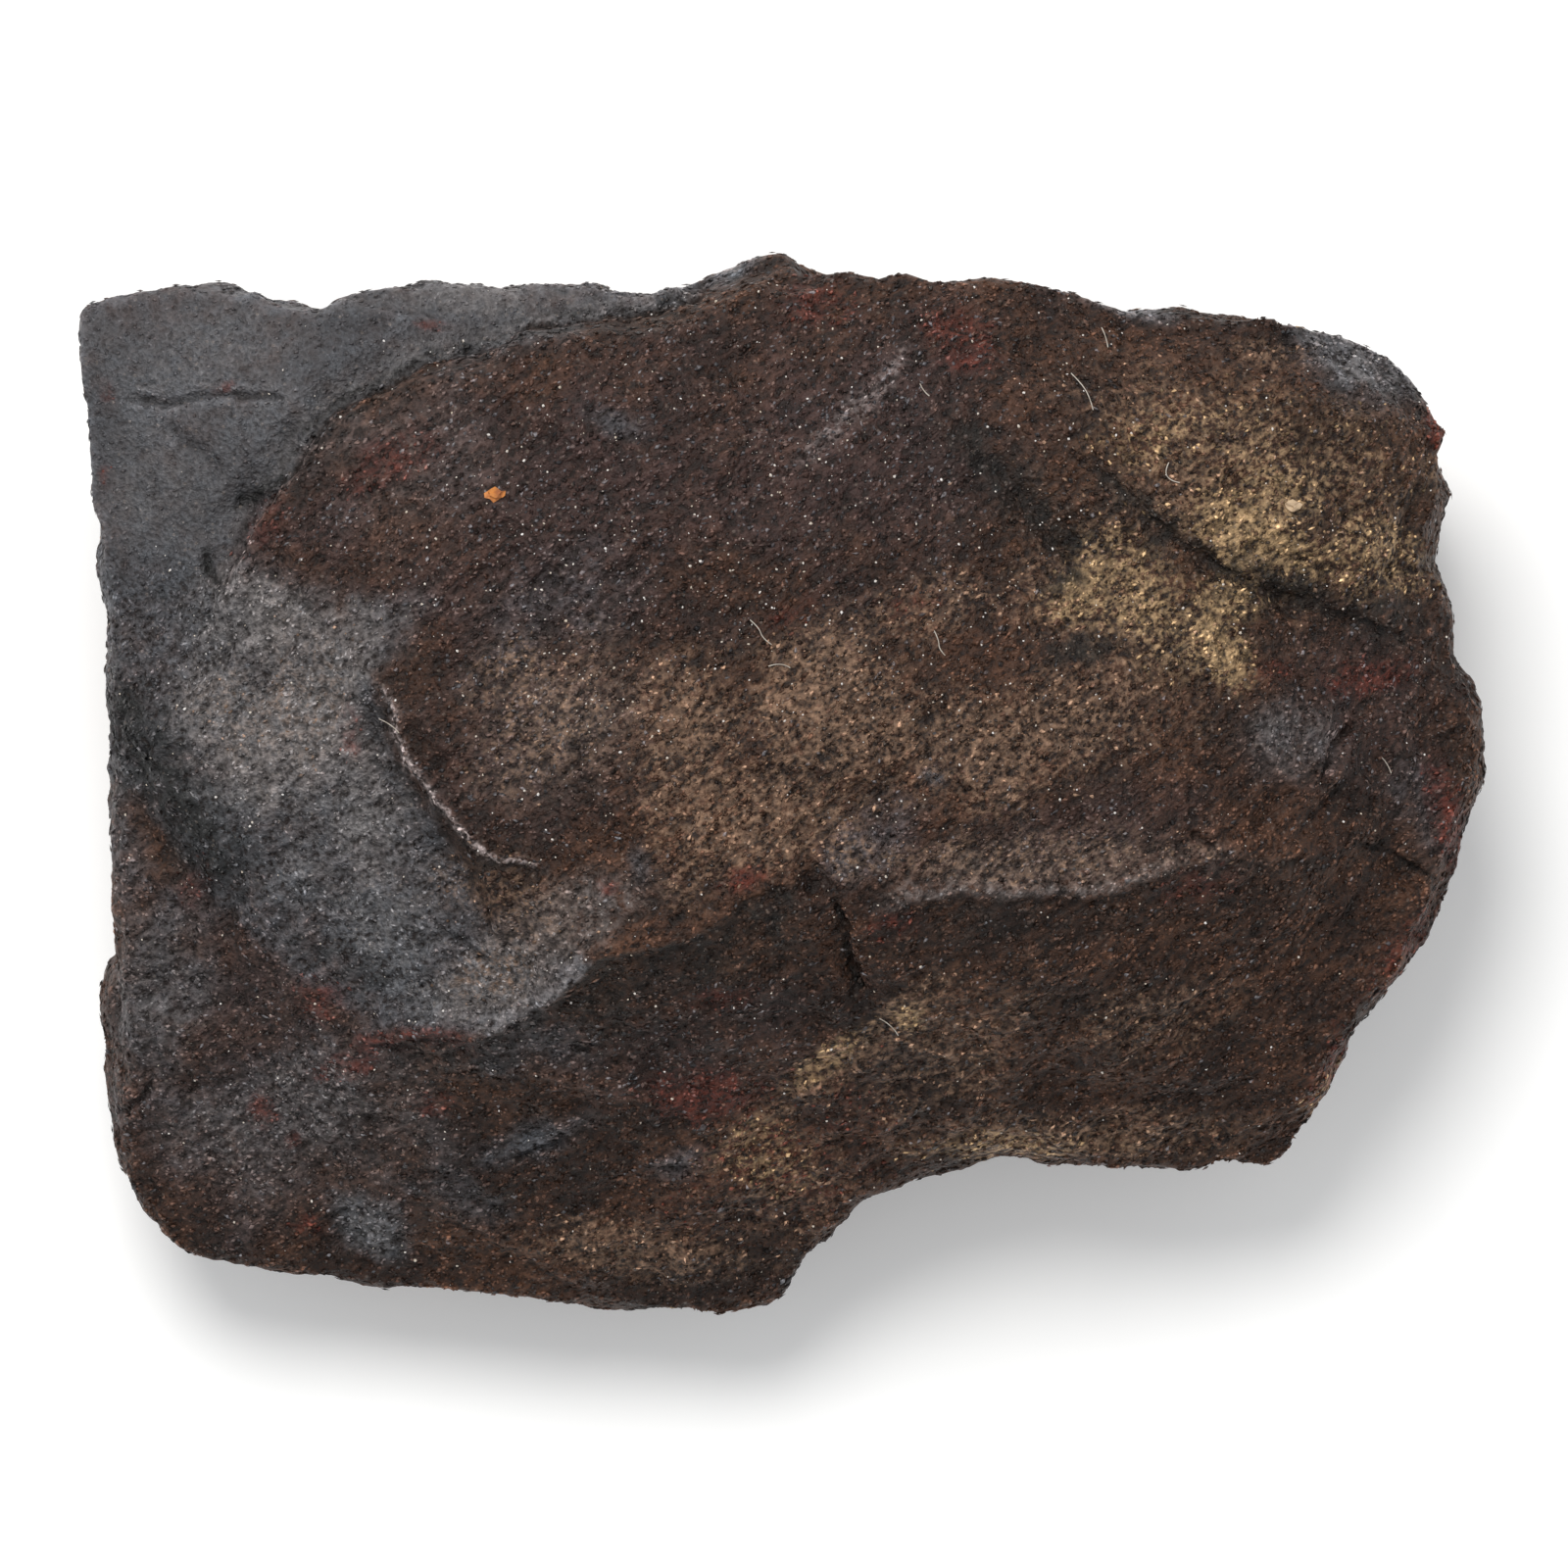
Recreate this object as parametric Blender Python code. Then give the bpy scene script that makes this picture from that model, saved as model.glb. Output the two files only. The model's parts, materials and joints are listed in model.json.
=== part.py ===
"""Rough hematite ore: one broken block of fine-grained iron ore, resting on its flattest break.

The block is modelled the way it came to be. Its upper face is drawn from the ridges, lips and hollows that
the breaks left, each a line of hand-picked points. That face is carried down to a solid, the sides and the
underside are struck off along flat breaks, shallow shell-shaped scars are scooped out, and the skin then
gets the lumps and the hackly chips of broken ore.

Lengths in this file are millimetres unless a name ends in _M. The origin is under the middle of the block,
on the surface that it rests on. X runs along the block, Y runs to its back and Z is up.
"""

import math

import bmesh
import bpy
import numpy as np
from mathutils import Vector, noise
from mathutils.geometry import delaunay_2d_cdt

MM = 0.001

# Driving dimensions
BLOCK_LENGTH = 91.8
BLOCK_WIDTH = 69.3
BLOCK_HEIGHT = 35.6
REST_LEVEL = -4.0
SKIRT_LEVEL = -8.0

# Fineness of the skin
CLAY_VOXEL = 0.62
TRIANGLE_TARGET = 9400
FACE_THINNING, UNDERSIDE_THINNING = 0.35, 0.62
SMOOTHING_ROUNDS = 14
CREASE_CORE, CREASE_REACH = 0.5, 2.2

# Widest line of the block seen from above, anticlockwise from the back left corner, with its height
OUTLINE = (
    (-45.8, 31.3, 20.6), (-45.3, 27.0, 20.8), (-45.1, 24.5, 20.8), (-44.9, 20.0, 20.6), (-44.0, 16.0, 20.4),
    (-43.4, 12.0, 20.3), (-42.9, 8.0, 20.2), (-42.9, 5.2, 20.0), (-43.0, 2.6, 18.0), (-43.4, 0.0, 16.6),
    (-43.6, -4.0, 16.0), (-43.8, -10.0, 15.0), (-43.1, -15.0, 13.8), (-42.9, -20.0, 12.4),
    (-42.8, -22.5, 11.6), (-42.4, -25.0, 10.8), (-41.7, -27.0, 10.0), (-40.5, -29.0, 9.2),
    (-39.7, -30.2, 8.8), (-38.0, -30.9, 8.4), (-35.0, -31.5, 8.2), (-31.5, -32.0, 8.0), (-30.2, -32.4, 7.6),
    (-29.0, -31.9, 8.2), (-27.0, -32.7, 7.6), (-24.0, -32.7, 7.8), (-22.5, -33.2, 7.6), (-18.0, -33.4, 7.8),
    (-15.0, -33.8, 7.8), (-10.5, -34.0, 7.8), (-7.5, -34.5, 7.4), (-3.5, -34.7, 7.0), (-1.0, -34.3, 7.0),
    (0.5, -33.1, 8.0), (1.0, -31.8, 9.0), (1.8, -30.3, 10.0), (3.5, -28.7, 11.0), (5.0, -27.0, 12.2),
    (6.5, -26.2, 12.6), (9.0, -24.9, 13.0), (11.5, -24.3, 13.2), (14.5, -23.5, 13.8), (18.0, -24.1, 13.2),
    (21.0, -24.6, 12.6), (25.0, -24.9, 11.4), (26.3, -25.2, 11.0), (27.5, -24.7, 11.2), (29.0, -24.3, 11.2),
    (30.5, -24.8, 10.2), (31.8, -25.0, 9.4), (32.8, -24.5, 9.6), (33.6, -22.6, 10.8), (34.9, -20.9, 10.8),
    (36.0, -18.8, 11.4), (37.0, -16.5, 12.0), (37.5, -15.0, 12.4), (40.0, -12.3, 12.4), (42.2, -9.5, 12.4),
    (43.2, -7.2, 12.8), (44.1, -4.5, 13.4), (44.4, -2.5, 13.8), (45.0, -0.8, 13.6), (45.9, 1.5, 13.0),
    (45.9, 3.5, 13.6), (45.3, 6.5, 15.2), (44.0, 8.2, 16.0), (43.4, 10.0, 16.4), (43.7, 11.8, 16.4),
    (43.0, 14.3, 17.2), (42.1, 15.0, 17.8), (42.3, 17.5, 18.4), (42.7, 20.0, 18.8), (42.8, 22.5, 18.8),
    (43.5, 24.6, 18.6), (42.4, 25.5, 18.0), (41.4, 27.4, 17.0), (40.1, 28.7, 17.4), (37.5, 30.2, 18.4),
    (34.0, 31.2, 20.4), (31.5, 31.7, 22.4), (27.5, 31.7, 22.8), (25.5, 32.0, 22.6), (24.5, 31.8, 22.8),
    (22.3, 32.0, 22.4), (19.0, 33.2, 22.2), (15.5, 33.8, 22.8), (12.5, 34.3, 23.0), (10.8, 34.0, 23.6),
    (8.0, 34.7, 23.2), (5.0, 34.4, 23.4), (4.0, 34.9, 22.2), (1.5, 34.9, 21.8), (-1.5, 34.7, 20.8),
    (-3.0, 34.2, 20.2), (-4.4, 33.8, 20.2), (-5.0, 33.4, 20.8), (-7.0, 33.7, 21.0), (-8.2, 33.1, 21.8),
    (-10.0, 33.2, 21.4), (-13.0, 33.6, 20.8), (-18.0, 33.5, 20.8), (-21.0, 33.7, 20.6), (-24.0, 33.6, 20.8),
    (-27.0, 33.4, 21.0), (-28.5, 32.9, 21.6), (-29.6, 31.9, 22.6), (-32.0, 32.3, 22.2), (-34.0, 32.9, 21.8),
    (-36.5, 33.3, 21.4), (-38.5, 33.6, 21.0), (-41.2, 33.2, 20.8), (-42.5, 33.4, 20.4), (-44.7, 33.1, 20.0),
    (-45.6, 32.3, 20.0),
)

# Creases of the upper face: the sharp lines where one break meets the next, as (x, y, height)
SLAB_LIP = (
    (-0.4, 33.9, 23.6), (-1.9, 33.4, 24.2), (-3.4, 32.7, 24.5), (-5.6, 31.4, 25.0), (-8.5, 30.8, 25.4),
    (-12.0, 30.4, 25.8), (-15.0, 30.0, 26.0), (-16.8, 29.6, 26.2), (-18.2, 28.6, 26.4), (-20.5, 28.0, 26.6),
    (-23.0, 27.3, 26.9), (-25.3, 25.9, 27.0), (-28.3, 24.8, 26.9), (-29.6, 23.5, 26.8), (-30.6, 21.8, 26.6),
    (-31.8, 20.3, 26.4), (-32.8, 18.9, 26.2), (-34.2, 16.8, 25.9), (-35.2, 14.7, 25.4), (-36.5, 12.8, 24.3),
)
SLAB_FOOT = (
    (-6.6, 31.9, 22.7), (-9.4, 31.5, 22.8), (-12.3, 31.3, 23.0), (-15.4, 30.9, 23.2), (-17.6, 30.4, 23.4),
    (-19.1, 29.4, 23.8), (-20.9, 28.9, 24.1), (-23.4, 28.1, 24.5), (-25.9, 26.7, 24.7), (-28.9, 25.6, 24.7),
    (-30.5, 24.0, 24.6), (-31.5, 22.2, 24.4), (-32.7, 20.8, 24.1), (-33.8, 19.3, 23.8), (-35.1, 17.1, 23.4),
    (-36.1, 15.0, 23.0), (-37.3, 12.8, 22.7), (-36.6, 11.7, 23.0),
)
WEST_LIP = (
    (-26.4, 6.6, 27.2), (-25.4, 4.6, 27.3), (-24.6, 2.2, 27.4), (-23.4, 0.2, 27.6), (-22.0, -1.8, 27.8),
    (-20.6, -3.5, 28.0), (-19.4, -4.9, 28.1), (-17.5, -5.0, 28.5), (-15.6, -5.1, 28.9),
)
WEST_FOOT = (
    (-27.3, 6.1, 26.5), (-26.2, 4.2, 26.2), (-25.4, 1.8, 26.1), (-24.2, -0.4, 26.1), (-22.8, -2.4, 26.2),
    (-21.4, -4.2, 26.3), (-20.4, -5.8, 26.4), (-19.8, -8.3, 26.2), (-18.9, -10.3, 26.2),
)
HOLLOW_LIP = ((-19.1, -6.0, 27.6), (-18.8, -8.2, 27.3), (-17.9, -9.8, 27.0))
SCARP_TOP = (
    (-42.5, 4.4, 20.9), (-40.6, 1.8, 21.7), (-38.6, -1.0, 22.2), (-36.4, -3.8, 22.3), (-33.8, -6.4, 22.2),
)
SCARP_FOOT = (
    (-42.5, 0.9, 17.4), (-41.0, -1.7, 17.9), (-39.0, -4.3, 18.6), (-36.8, -6.9, 19.4), (-34.0, -9.4, 20.2),
)
FRONT_RIDGE = (
    (-30.5, -13.6, 20.7), (-27.5, -15.6, 21.3), (-24.0, -16.3, 22.2), (-20.5, -16.4, 23.4),
    (-18.0, -15.7, 24.8), (-15.5, -14.2, 26.4), (-13.5, -12.2, 28.0), (-11.6, -10.9, 29.1),
    (-9.5, -10.2, 29.7), (-7.0, -10.0, 30.1), (-4.0, -9.0, 30.7), (-1.5, -7.6, 31.3), (1.2, -6.7, 31.7),
    (3.0, -7.2, 31.7),
)
EAST_RIDGE = (
    (4.6, -8.4, 31.1), (7.0, -7.8, 31.2), (10.0, -7.8, 31.0), (13.5, -8.0, 30.6), (17.0, -7.7, 30.2),
    (20.5, -7.2, 29.5), (24.0, -6.3, 28.7), (27.5, -5.7, 27.5), (30.5, -5.1, 26.1), (33.4, -4.6, 24.2),
    (37.0, -4.4, 20.9), (40.4, -5.6, 16.9),
)
SEAM_GROOVE = (
    (12.0, 22.4, 28.2), (16.0, 19.2, 27.5), (20.0, 17.2, 27.1), (24.5, 16.2, 26.5), (28.5, 15.2, 25.7),
    (31.5, 13.6, 24.9), (35.0, 12.4, 23.5), (39.0, 11.4, 21.2), (42.3, 11.0, 18.2),
)
CORNER_EDGE = (
    (31.8, 28.9, 24.2), (33.4, 26.9, 24.8), (36.2, 25.3, 24.3), (39.5, 24.5, 22.6), (41.5, 23.7, 20.4),
)
EAST_LIP = ((36.2, 6.0, 23.8), (35.6, 3.6, 24.2), (35.0, 1.6, 24.5), (34.2, -0.6, 24.7), (33.2, -2.6, 25.0))
WEST_STRIP_EDGE = (
    (-42.5, -1.4, 18.3), (-42.6, -5.0, 18.0), (-42.7, -10.0, 17.2), (-42.5, -15.0, 16.0), (-42.2, -19.6, 14.6),
)
SOUTH_EAST_STRIP_EDGE = (
    (44.2, 0.2, 17.4), (43.4, -3.4, 17.3), (41.9, -7.4, 16.6), (40.0, -10.4, 16.2), (37.6, -13.4, 16.0),
    (35.7, -16.2, 15.6), (34.6, -19.6, 14.4),
)
EAST_FOOT = ((37.0, 5.6, 22.5), (36.5, 3.4, 22.6), (35.9, 1.2, 22.8), (35.1, -1.0, 23.1), (34.3, -3.0, 23.4))
CREASES = (
    SLAB_LIP, SLAB_FOOT, WEST_LIP, WEST_FOOT, HOLLOW_LIP, SCARP_TOP, SCARP_FOOT, FRONT_RIDGE, EAST_RIDGE,
    SEAM_GROOVE, CORNER_EDGE, EAST_LIP, EAST_FOOT, WEST_STRIP_EDGE, SOUTH_EAST_STRIP_EDGE,
)

# Single heights that fill the faces between the creases
SHELF_SPOTS = (
    (-42.0, 28.5, 21.6), (-37.0, 28.0, 22.6), (-32.0, 27.6, 23.8), (-25.0, 29.6, 23.2), (-18.5, 31.2, 22.4),
    (-41.5, 22.0, 22.0), (-38.0, 23.6, 22.9), (-36.0, 19.6, 22.6), (-41.0, 16.0, 21.8), (-38.8, 12.0, 22.2),
)
WEST_FACE_SPOTS = (
    (-40.5, 8.0, 21.9), (-36.5, 6.0, 23.1), (-33.5, 9.2, 24.2), (-33.0, 2.0, 24.1), (-29.6, 7.4, 25.4),
    (-29.0, 2.6, 25.2), (-30.0, -3.0, 23.8), (-26.0, -3.4, 25.0), (-28.0, -9.4, 22.4), (-24.0, -9.6, 24.2),
    (-22.0, -13.0, 23.6), (-16.4, -11.4, 26.9), (-15.6, -7.8, 28.3),
)
SLAB_SPOTS = (
    (-31.0, 15.2, 26.4), (-28.0, 20.0, 27.2), (-27.4, 11.0, 27.0), (-22.0, 14.0, 27.9), (-15.0, 22.0, 28.3),
    (-10.0, 28.0, 27.2), (0.0, 31.0, 26.0), (-8.0, 14.0, 29.2), (0.0, 21.0, 28.8), (-18.0, 5.0, 28.7),
    (-10.0, 3.0, 30.2), (-3.0, 4.0, 31.3), (5.0, 5.0, 31.6), (5.0, 13.0, 30.2), (12.0, 12.0, 30.0),
    (-8.0, -4.4, 30.5), (0.0, -2.4, 31.8), (12.0, 1.0, 31.5), (20.0, 3.0, 30.4), (12.0, -4.0, 31.3),
    (22.0, -2.0, 29.8), (28.0, 1.6, 28.3), (10.0, 28.0, 26.9), (20.0, 27.0, 26.4), (27.0, 26.0, 26.4),
    (20.0, 22.0, 27.7), (18.0, 13.0, 28.8), (24.0, 10.0, 28.6), (30.0, 8.0, 27.4), (27.0, 20.0, 27.3),
    (33.0, 19.0, 26.6), (38.0, 18.6, 23.9), (38.0, 14.4, 22.8), (39.0, 8.0, 21.4), (31.4, 3.0, 26.6),
)
FRONT_SPOTS = (
    (-40.0, -12.0, 16.9), (-36.0, -18.0, 15.7), (-40.0, -22.0, 12.6), (-31.0, -24.0, 13.4),
    (-26.0, -20.0, 17.9), (-22.0, -27.0, 13.0), (-14.0, -22.0, 19.0), (-14.0, -29.0, 12.2),
    (-4.0, -18.0, 22.8), (-4.0, -27.0, 14.4), (4.0, -17.0, 23.2), (12.0, -16.0, 23.4), (22.0, -16.0, 21.4),
    (30.0, -14.0, 19.4), (30.0, -20.0, 14.8), (36.0, -10.0, 17.6), (40.4, 2.6, 19.6), (41.0, -2.0, 17.0),
)
SPOTS = SHELF_SPOTS + WEST_FACE_SPOTS + SLAB_SPOTS + FRONT_SPOTS

# Flat breaks that struck off the sides and the underside: the heading that each faces, in degrees
# anticlockwise from +X, its pitch, which is negative where it faces downwards, and how far it bites in.
# The steeper ones are measured from the foot of the block and the others from its outline.
BREAKS = {
    "west": (180, -6, 0.0),
    "west_back": (173, -14, 0.0),
    "west_low": (187, -43, 6.5),
    "south_west": (222, -14, 0.0),
    "south_west_low": (226, -48, 6.0),
    "front_west": (259, -17, 0.0),
    "front": (271, -15, 0.0),
    "front_low": (266, -50, 3.0),
    "front_east": (292, -15, 0.0),
    "front_east_low": (287, -47, 8.0),
    "south_east": (321, -12, 0.0),
    "south_east_low": (316, -44, 6.5),
    "east": (357, -16, 0.0),
    "east_front": (338, -19, 0.0),
    "east_back": (8, -11, 0.0),
    "east_low": (2, -49, 9.0),
    "north_east": (45, -9, 0.0),
    "north_east_low": (50, -42, 8.0),
    "back_east": (79, -12, 0.0),
    "back": (94, -9, 0.0),
    "back_west": (99, -19, 0.3),
    "back_low": (90, -50, 9.5),
    "back_west_low": (134, -44, 13.0),
    "under_west": (194, -79, 3.3),
    "under_back": (76, -81, 2.7),
    "under_east": (342, -78, 3.8),
    "under_front": (274, -82, 1.7),
}
STEEP = -30

# Shell-shaped scars: the centre and the three radii of the ball that each was scooped with
SCARS = {
    "back_scar": ((-20.0, 42.5, 6.0), (16.0, 13.0, 12.0)),
    "back_east_scar": ((16.0, 40.5, 3.0), (13.0, 12.0, 12.0)),
    "east_scar": ((52.5, 12.5, 2.0), (12.5, 13.0, 10.5)),
    "west_scar": ((-54.0, 13.0, 6.0), (13.0, 15.0, 10.5)),
    "west_foot_scar": ((-50.5, -13.0, -1.0), (11.0, 10.0, 8.5)),
    "front_corner_scar": ((12.5, -31.8, -2.0), (12.0, 8.6, 10.5)),
    "front_foot_scar": ((-24.0, -38.2, -4.0), (15.0, 8.5, 7.0)),
    "under_scar": ((14.0, 9.0, -50.6), (50.0, 38.0, 48.0)),
    "under_west_scar": ((-24.0, -9.0, -40.8), (32.0, 42.0, 38.0)),
}

# The shelf, the west face and the trough below it, which broke smoother than the rest
SMOOTH_FACES = (
    (-46.5, 33.0), (-29.0, 32.0), (-18.0, 31.0), (-25.0, 26.6), (-30.0, 24.0), (-33.5, 19.0), (-36.8, 12.4),
    (-31.0, 12.0), (-26.8, 7.0), (-25.0, 1.0), (-21.0, -5.0), (-18.6, -10.0), (-18.0, -14.0), (-23.0, -16.0),
    (-31.0, -13.2), (-37.0, -7.0), (-42.0, -1.0), (-46.5, 2.0),
)
SMOOTH_SHARE, SMOOTH_BORDER = 0.3, 1.6

# Cracks that open the skin: (x, y) points, with the width and the depth at the middle
CRACKS = {
    "notch": (((3.3, -6.9), (3.7, -8.8), (4.0, -10.3), (4.5, -11.8), (5.2, -13.3)), 0.75, 1.9),
    "east_gape": (((37.2, -4.1), (38.6, -4.2), (39.9, -4.9), (41.4, -5.9), (43.0, -6.7)), 0.7, 1.1),
    "shelf_check": (((-42.6, 25.3), (-40.0, 24.8), (-36.5, 25.4), (-32.4, 25.2)), 0.5, 0.45),
    "slab_check": (((-30.6, 21.3), (-32.6, 20.1), (-34.6, 19.0), (-35.6, 18.1)), 0.5, 0.6),
}
CRACK_LIP = 0.55

# Hackly relief: tilted chips of each size, rounder lumps between them, and the small ledges that step
# across the grain of the ore
CHIP_SIZES_AND_TILTS = ((10.0, 0.075), (5.0, 0.06))
CHIP_BORDER = 0.25
LUMP_SIZES_AND_HEIGHTS = ((15.0, 0.45), (6.5, 0.26), (3.0, 0.13))
SIDE_CHIP_SIZE, SIDE_CHIP_TILT = 13.0, 0.14
BORDER_WARP_SIZE, BORDER_WARP = 3.4, 0.9
LEDGE_HEADING, LEDGE_SPACING, LEDGE_HEIGHT = -50, 4.6, 0.5
LEDGE_WANDER_SIZE, LEDGE_WANDER, LEDGE_RISER = 8.0, 1.9, 0.3
FLAT_LEDGE_SHARE = 0.22
SIDE_BOOST, RIM_CALM, BASE_CALM = 0.3, 3.0, 0.6
CONTACT_DEPTH, CONTACT_SNAP = 0.5, 0.06


def clear_scene():
    """Remove whatever the opened scene holds."""
    for obj in list(bpy.data.objects):
        bpy.data.objects.remove(obj, do_unlink=True)


def link_mesh(name, mesh):
    """Put a mesh in the scene as a named object."""
    obj = bpy.data.objects.new(name, mesh)
    bpy.context.scene.collection.objects.link(obj)
    return obj


def bake_modifiers(obj):
    """Replace an object's mesh by the one that its modifiers make."""
    graph = bpy.context.evaluated_depsgraph_get()
    made = bpy.data.meshes.new_from_object(obj.evaluated_get(graph))
    old = obj.data
    obj.modifiers.clear()
    obj.data = made
    bpy.data.meshes.remove(old)


def upper_face():
    """Triangulate the upper face between the outline, the creases and the spot heights."""
    points, edges = [], []
    for line, is_ring in ((OUTLINE, True), *((crease, False) for crease in CREASES)):
        first = len(points)
        points.extend(line)
        last = len(points) - 1
        edges.extend((i, i + 1) for i in range(first, last))
        if is_ring:
            edges.append((last, first))
    points.extend(SPOTS)
    flat = [Vector(point[:2]) for point in points]
    corners, _, triangles, sources, _, _ = delaunay_2d_cdt(flat, edges, [], 1, 1e-4)
    heights = [points[source[0]][2] for source in sources]
    return [(*corner, height) for corner, height in zip(corners, heights)], triangles


def block_mesh():
    """Carry the upper face down to a skirt, so that the block is a closed solid."""
    corners, triangles = upper_face()
    bm = bmesh.new()
    verts = [bm.verts.new(Vector(corner) * MM) for corner in corners]
    for triangle in triangles:
        bm.faces.new([verts[i] for i in triangle])
    rim = [edge for edge in bm.edges if edge.is_boundary]
    skirt = bmesh.ops.extrude_edge_only(bm, edges=rim)["geom"]
    for vert in (item for item in skirt if isinstance(item, bmesh.types.BMVert)):
        vert.co.z = SKIRT_LEVEL * MM
    bmesh.ops.holes_fill(bm, edges=[edge for edge in bm.edges if edge.is_boundary])
    bmesh.ops.recalc_face_normals(bm, faces=bm.faces)
    return bm


def facing(heading, pitch):
    """The unit vector at a heading from +X and a pitch above the horizon, in degrees."""
    turn, rise = math.radians(heading), math.radians(pitch)
    return Vector((math.cos(turn) * math.cos(rise), math.sin(turn) * math.cos(rise), math.sin(rise)))


def strike_off(bm, point, facing_way):
    """Cut the block along one flat break, drop what lies outside it and close the cut."""
    geometry = [*bm.verts, *bm.edges, *bm.faces]
    bmesh.ops.bisect_plane(
        bm,
        geom=geometry,
        dist=1e-6,
        plane_co=point,
        plane_no=facing_way,
        clear_outer=True,
    )
    bmesh.ops.holes_fill(bm, edges=[edge for edge in bm.edges if edge.is_boundary])


def first_touched(facing_way, at_foot):
    """The corner of the outline, or of the foot below it, that a break facing that way meets first."""
    corners = [(x, y, REST_LEVEL if at_foot else z) for x, y, z in OUTLINE]
    return max((Vector(corner) * MM for corner in corners), key=facing_way.dot)


def broken_block():
    """The block with every flat break made."""
    bm = block_mesh()
    strike_off(bm, Vector((0, 0, REST_LEVEL)) * MM, Vector((0, 0, -1)))
    for heading, pitch, bite in BREAKS.values():
        facing_way = facing(heading, pitch)
        point = first_touched(facing_way, pitch < STEEP) - facing_way * bite * MM
        strike_off(bm, point, facing_way)
    bmesh.ops.triangulate(bm, faces=bm.faces)
    bmesh.ops.recalc_face_normals(bm, faces=bm.faces)
    mesh = bpy.data.meshes.new("hematite_ore")
    bm.to_mesh(mesh)
    bm.free()
    return link_mesh("hematite_ore", mesh)


def scar_cutter(name, centre, radii):
    """A ball that scoops one scar. It stays out of the finished scene."""
    bm = bmesh.new()
    bmesh.ops.create_icosphere(bm, subdivisions=4, radius=1.0)
    bmesh.ops.scale(bm, vec=Vector(radii) * MM, verts=bm.verts)
    bmesh.ops.translate(bm, vec=Vector(centre) * MM, verts=bm.verts)
    mesh = bpy.data.meshes.new(name)
    bm.to_mesh(mesh)
    bm.free()
    cutter = link_mesh(name, mesh)
    cutter.hide_render = True
    cutter.display_type = "WIRE"
    return cutter


def scoop_scars(ore):
    """Cut every shell-shaped scar out of the block."""
    cutters = [scar_cutter(name, centre, radii) for name, (centre, radii) in SCARS.items()]
    for cutter in cutters:
        cut = ore.modifiers.new(cutter.name, "BOOLEAN")
        cut.operation = "DIFFERENCE"
        cut.solver = "EXACT"
        cut.object = cutter
    bake_modifiers(ore)
    for cutter in cutters:
        bpy.data.objects.remove(cutter, do_unlink=True)


def even_skin(ore):
    """Give the block one even skin of small faces, fine enough to carry the relief."""
    remesh = ore.modifiers.new("even_skin", "REMESH")
    remesh.mode = "VOXEL"
    remesh.voxel_size = CLAY_VOXEL * MM
    remesh.adaptivity = 0.0
    bake_modifiers(ore)


def read_points(mesh):
    """The mesh's points in millimetres, as an array."""
    points = np.empty(len(mesh.vertices) * 3)
    mesh.vertices.foreach_get("co", points)
    return points.reshape(-1, 3) / MM


def write_points(mesh, points):
    """Move the mesh's points to an array in millimetres."""
    mesh.vertices.foreach_set("co", (points * MM).ravel())
    mesh.update()


def read_normals(mesh):
    """The mesh's point normals, as an array."""
    return np.array([normal.vector for normal in mesh.vertex_normals])


def distance_to_line(points, line, closed=False, axes=2):
    """Each point's distance from a line of segments, and how far along the line the nearest place is.

    With two axes the distance is the one seen from above, and with three it is the true one.
    """
    corners = np.array(line)[:, :axes]
    ends = np.roll(corners, -1, axis=0) if closed else corners[1:]
    starts = corners if closed else corners[:-1]
    best = np.full(len(points), np.inf)
    share = np.zeros(len(points))
    for step, (start, end) in enumerate(zip(starts, ends)):
        run = end - start
        along = np.clip((points[:, :axes] - start) @ run / (run @ run), 0, 1)
        gap = np.linalg.norm(points[:, :axes] - start - along[:, None] * run, axis=1)
        nearer = gap < best
        best[nearer] = gap[nearer]
        share[nearer] = (step + along[nearer]) / len(starts)
    return best, share


def smooth_ramp(values, low, high):
    """0 below low, 1 above high, and an even S-shaped rise between them."""
    t = np.clip((values - low) / (high - low), 0, 1)
    return t * t * (3 - 2 * t)


def soften_faces(mesh):
    """Ease the upper face between its creases, which stay as sharp as they were drawn."""
    points = read_points(mesh)
    upward = smooth_ramp(read_normals(mesh)[:, 2], 0.35, 0.6)
    gap = np.full(len(points), np.inf)
    for crease in (*CREASES, OUTLINE):
        gap = np.minimum(gap, distance_to_line(points, crease, crease is OUTLINE)[0])
    freedom = (smooth_ramp(gap, CREASE_CORE, CREASE_REACH) * upward)[:, None]
    edges = np.empty(len(mesh.edges) * 2, int)
    mesh.edges.foreach_get("vertices", edges)
    edges = edges.reshape(-1, 2)
    count = np.bincount(edges.ravel(), minlength=len(points))[:, None]
    for _ in range(SMOOTHING_ROUNDS):
        total = np.zeros_like(points)
        np.add.at(total, edges[:, 0], points[edges[:, 1]])
        np.add.at(total, edges[:, 1], points[edges[:, 0]])
        points += (total / count - points) * freedom
    write_points(mesh, points)


def inside_ring(points, ring):
    """Whether each point lies inside a closed ring, seen from above."""
    x, y = points[:, 0], points[:, 1]
    inside = np.zeros(len(points), bool)
    for (x1, y1), (x2, y2) in zip(ring, ring[1:] + ring[:1]):
        if y1 == y2:
            continue
        spans = (y1 > y) != (y2 > y)
        inside ^= spans & (x < (x2 - x1) * (y - y1) / (y2 - y1) + x1)
    return inside


def smooth_face_share(points, normals):
    """1 on the faces that broke smooth, 0 on the rest, with a soft border."""
    gap, _ = distance_to_line(points, SMOOTH_FACES, closed=True)
    depth = np.where(inside_ring(points, SMOOTH_FACES), gap, -gap)
    return smooth_ramp(depth, -SMOOTH_BORDER, SMOOTH_BORDER) * smooth_ramp(normals[:, 2], 0.1, 0.4)


def noise_at(points, size, seed):
    """Smooth noise from -1 to 1 at each point, with features of that size."""
    shift = Vector((seed * 17.3, seed * 5.1, seed * 9.7))
    return np.array([noise.noise(Vector(point) / size + shift) for point in points])


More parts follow.
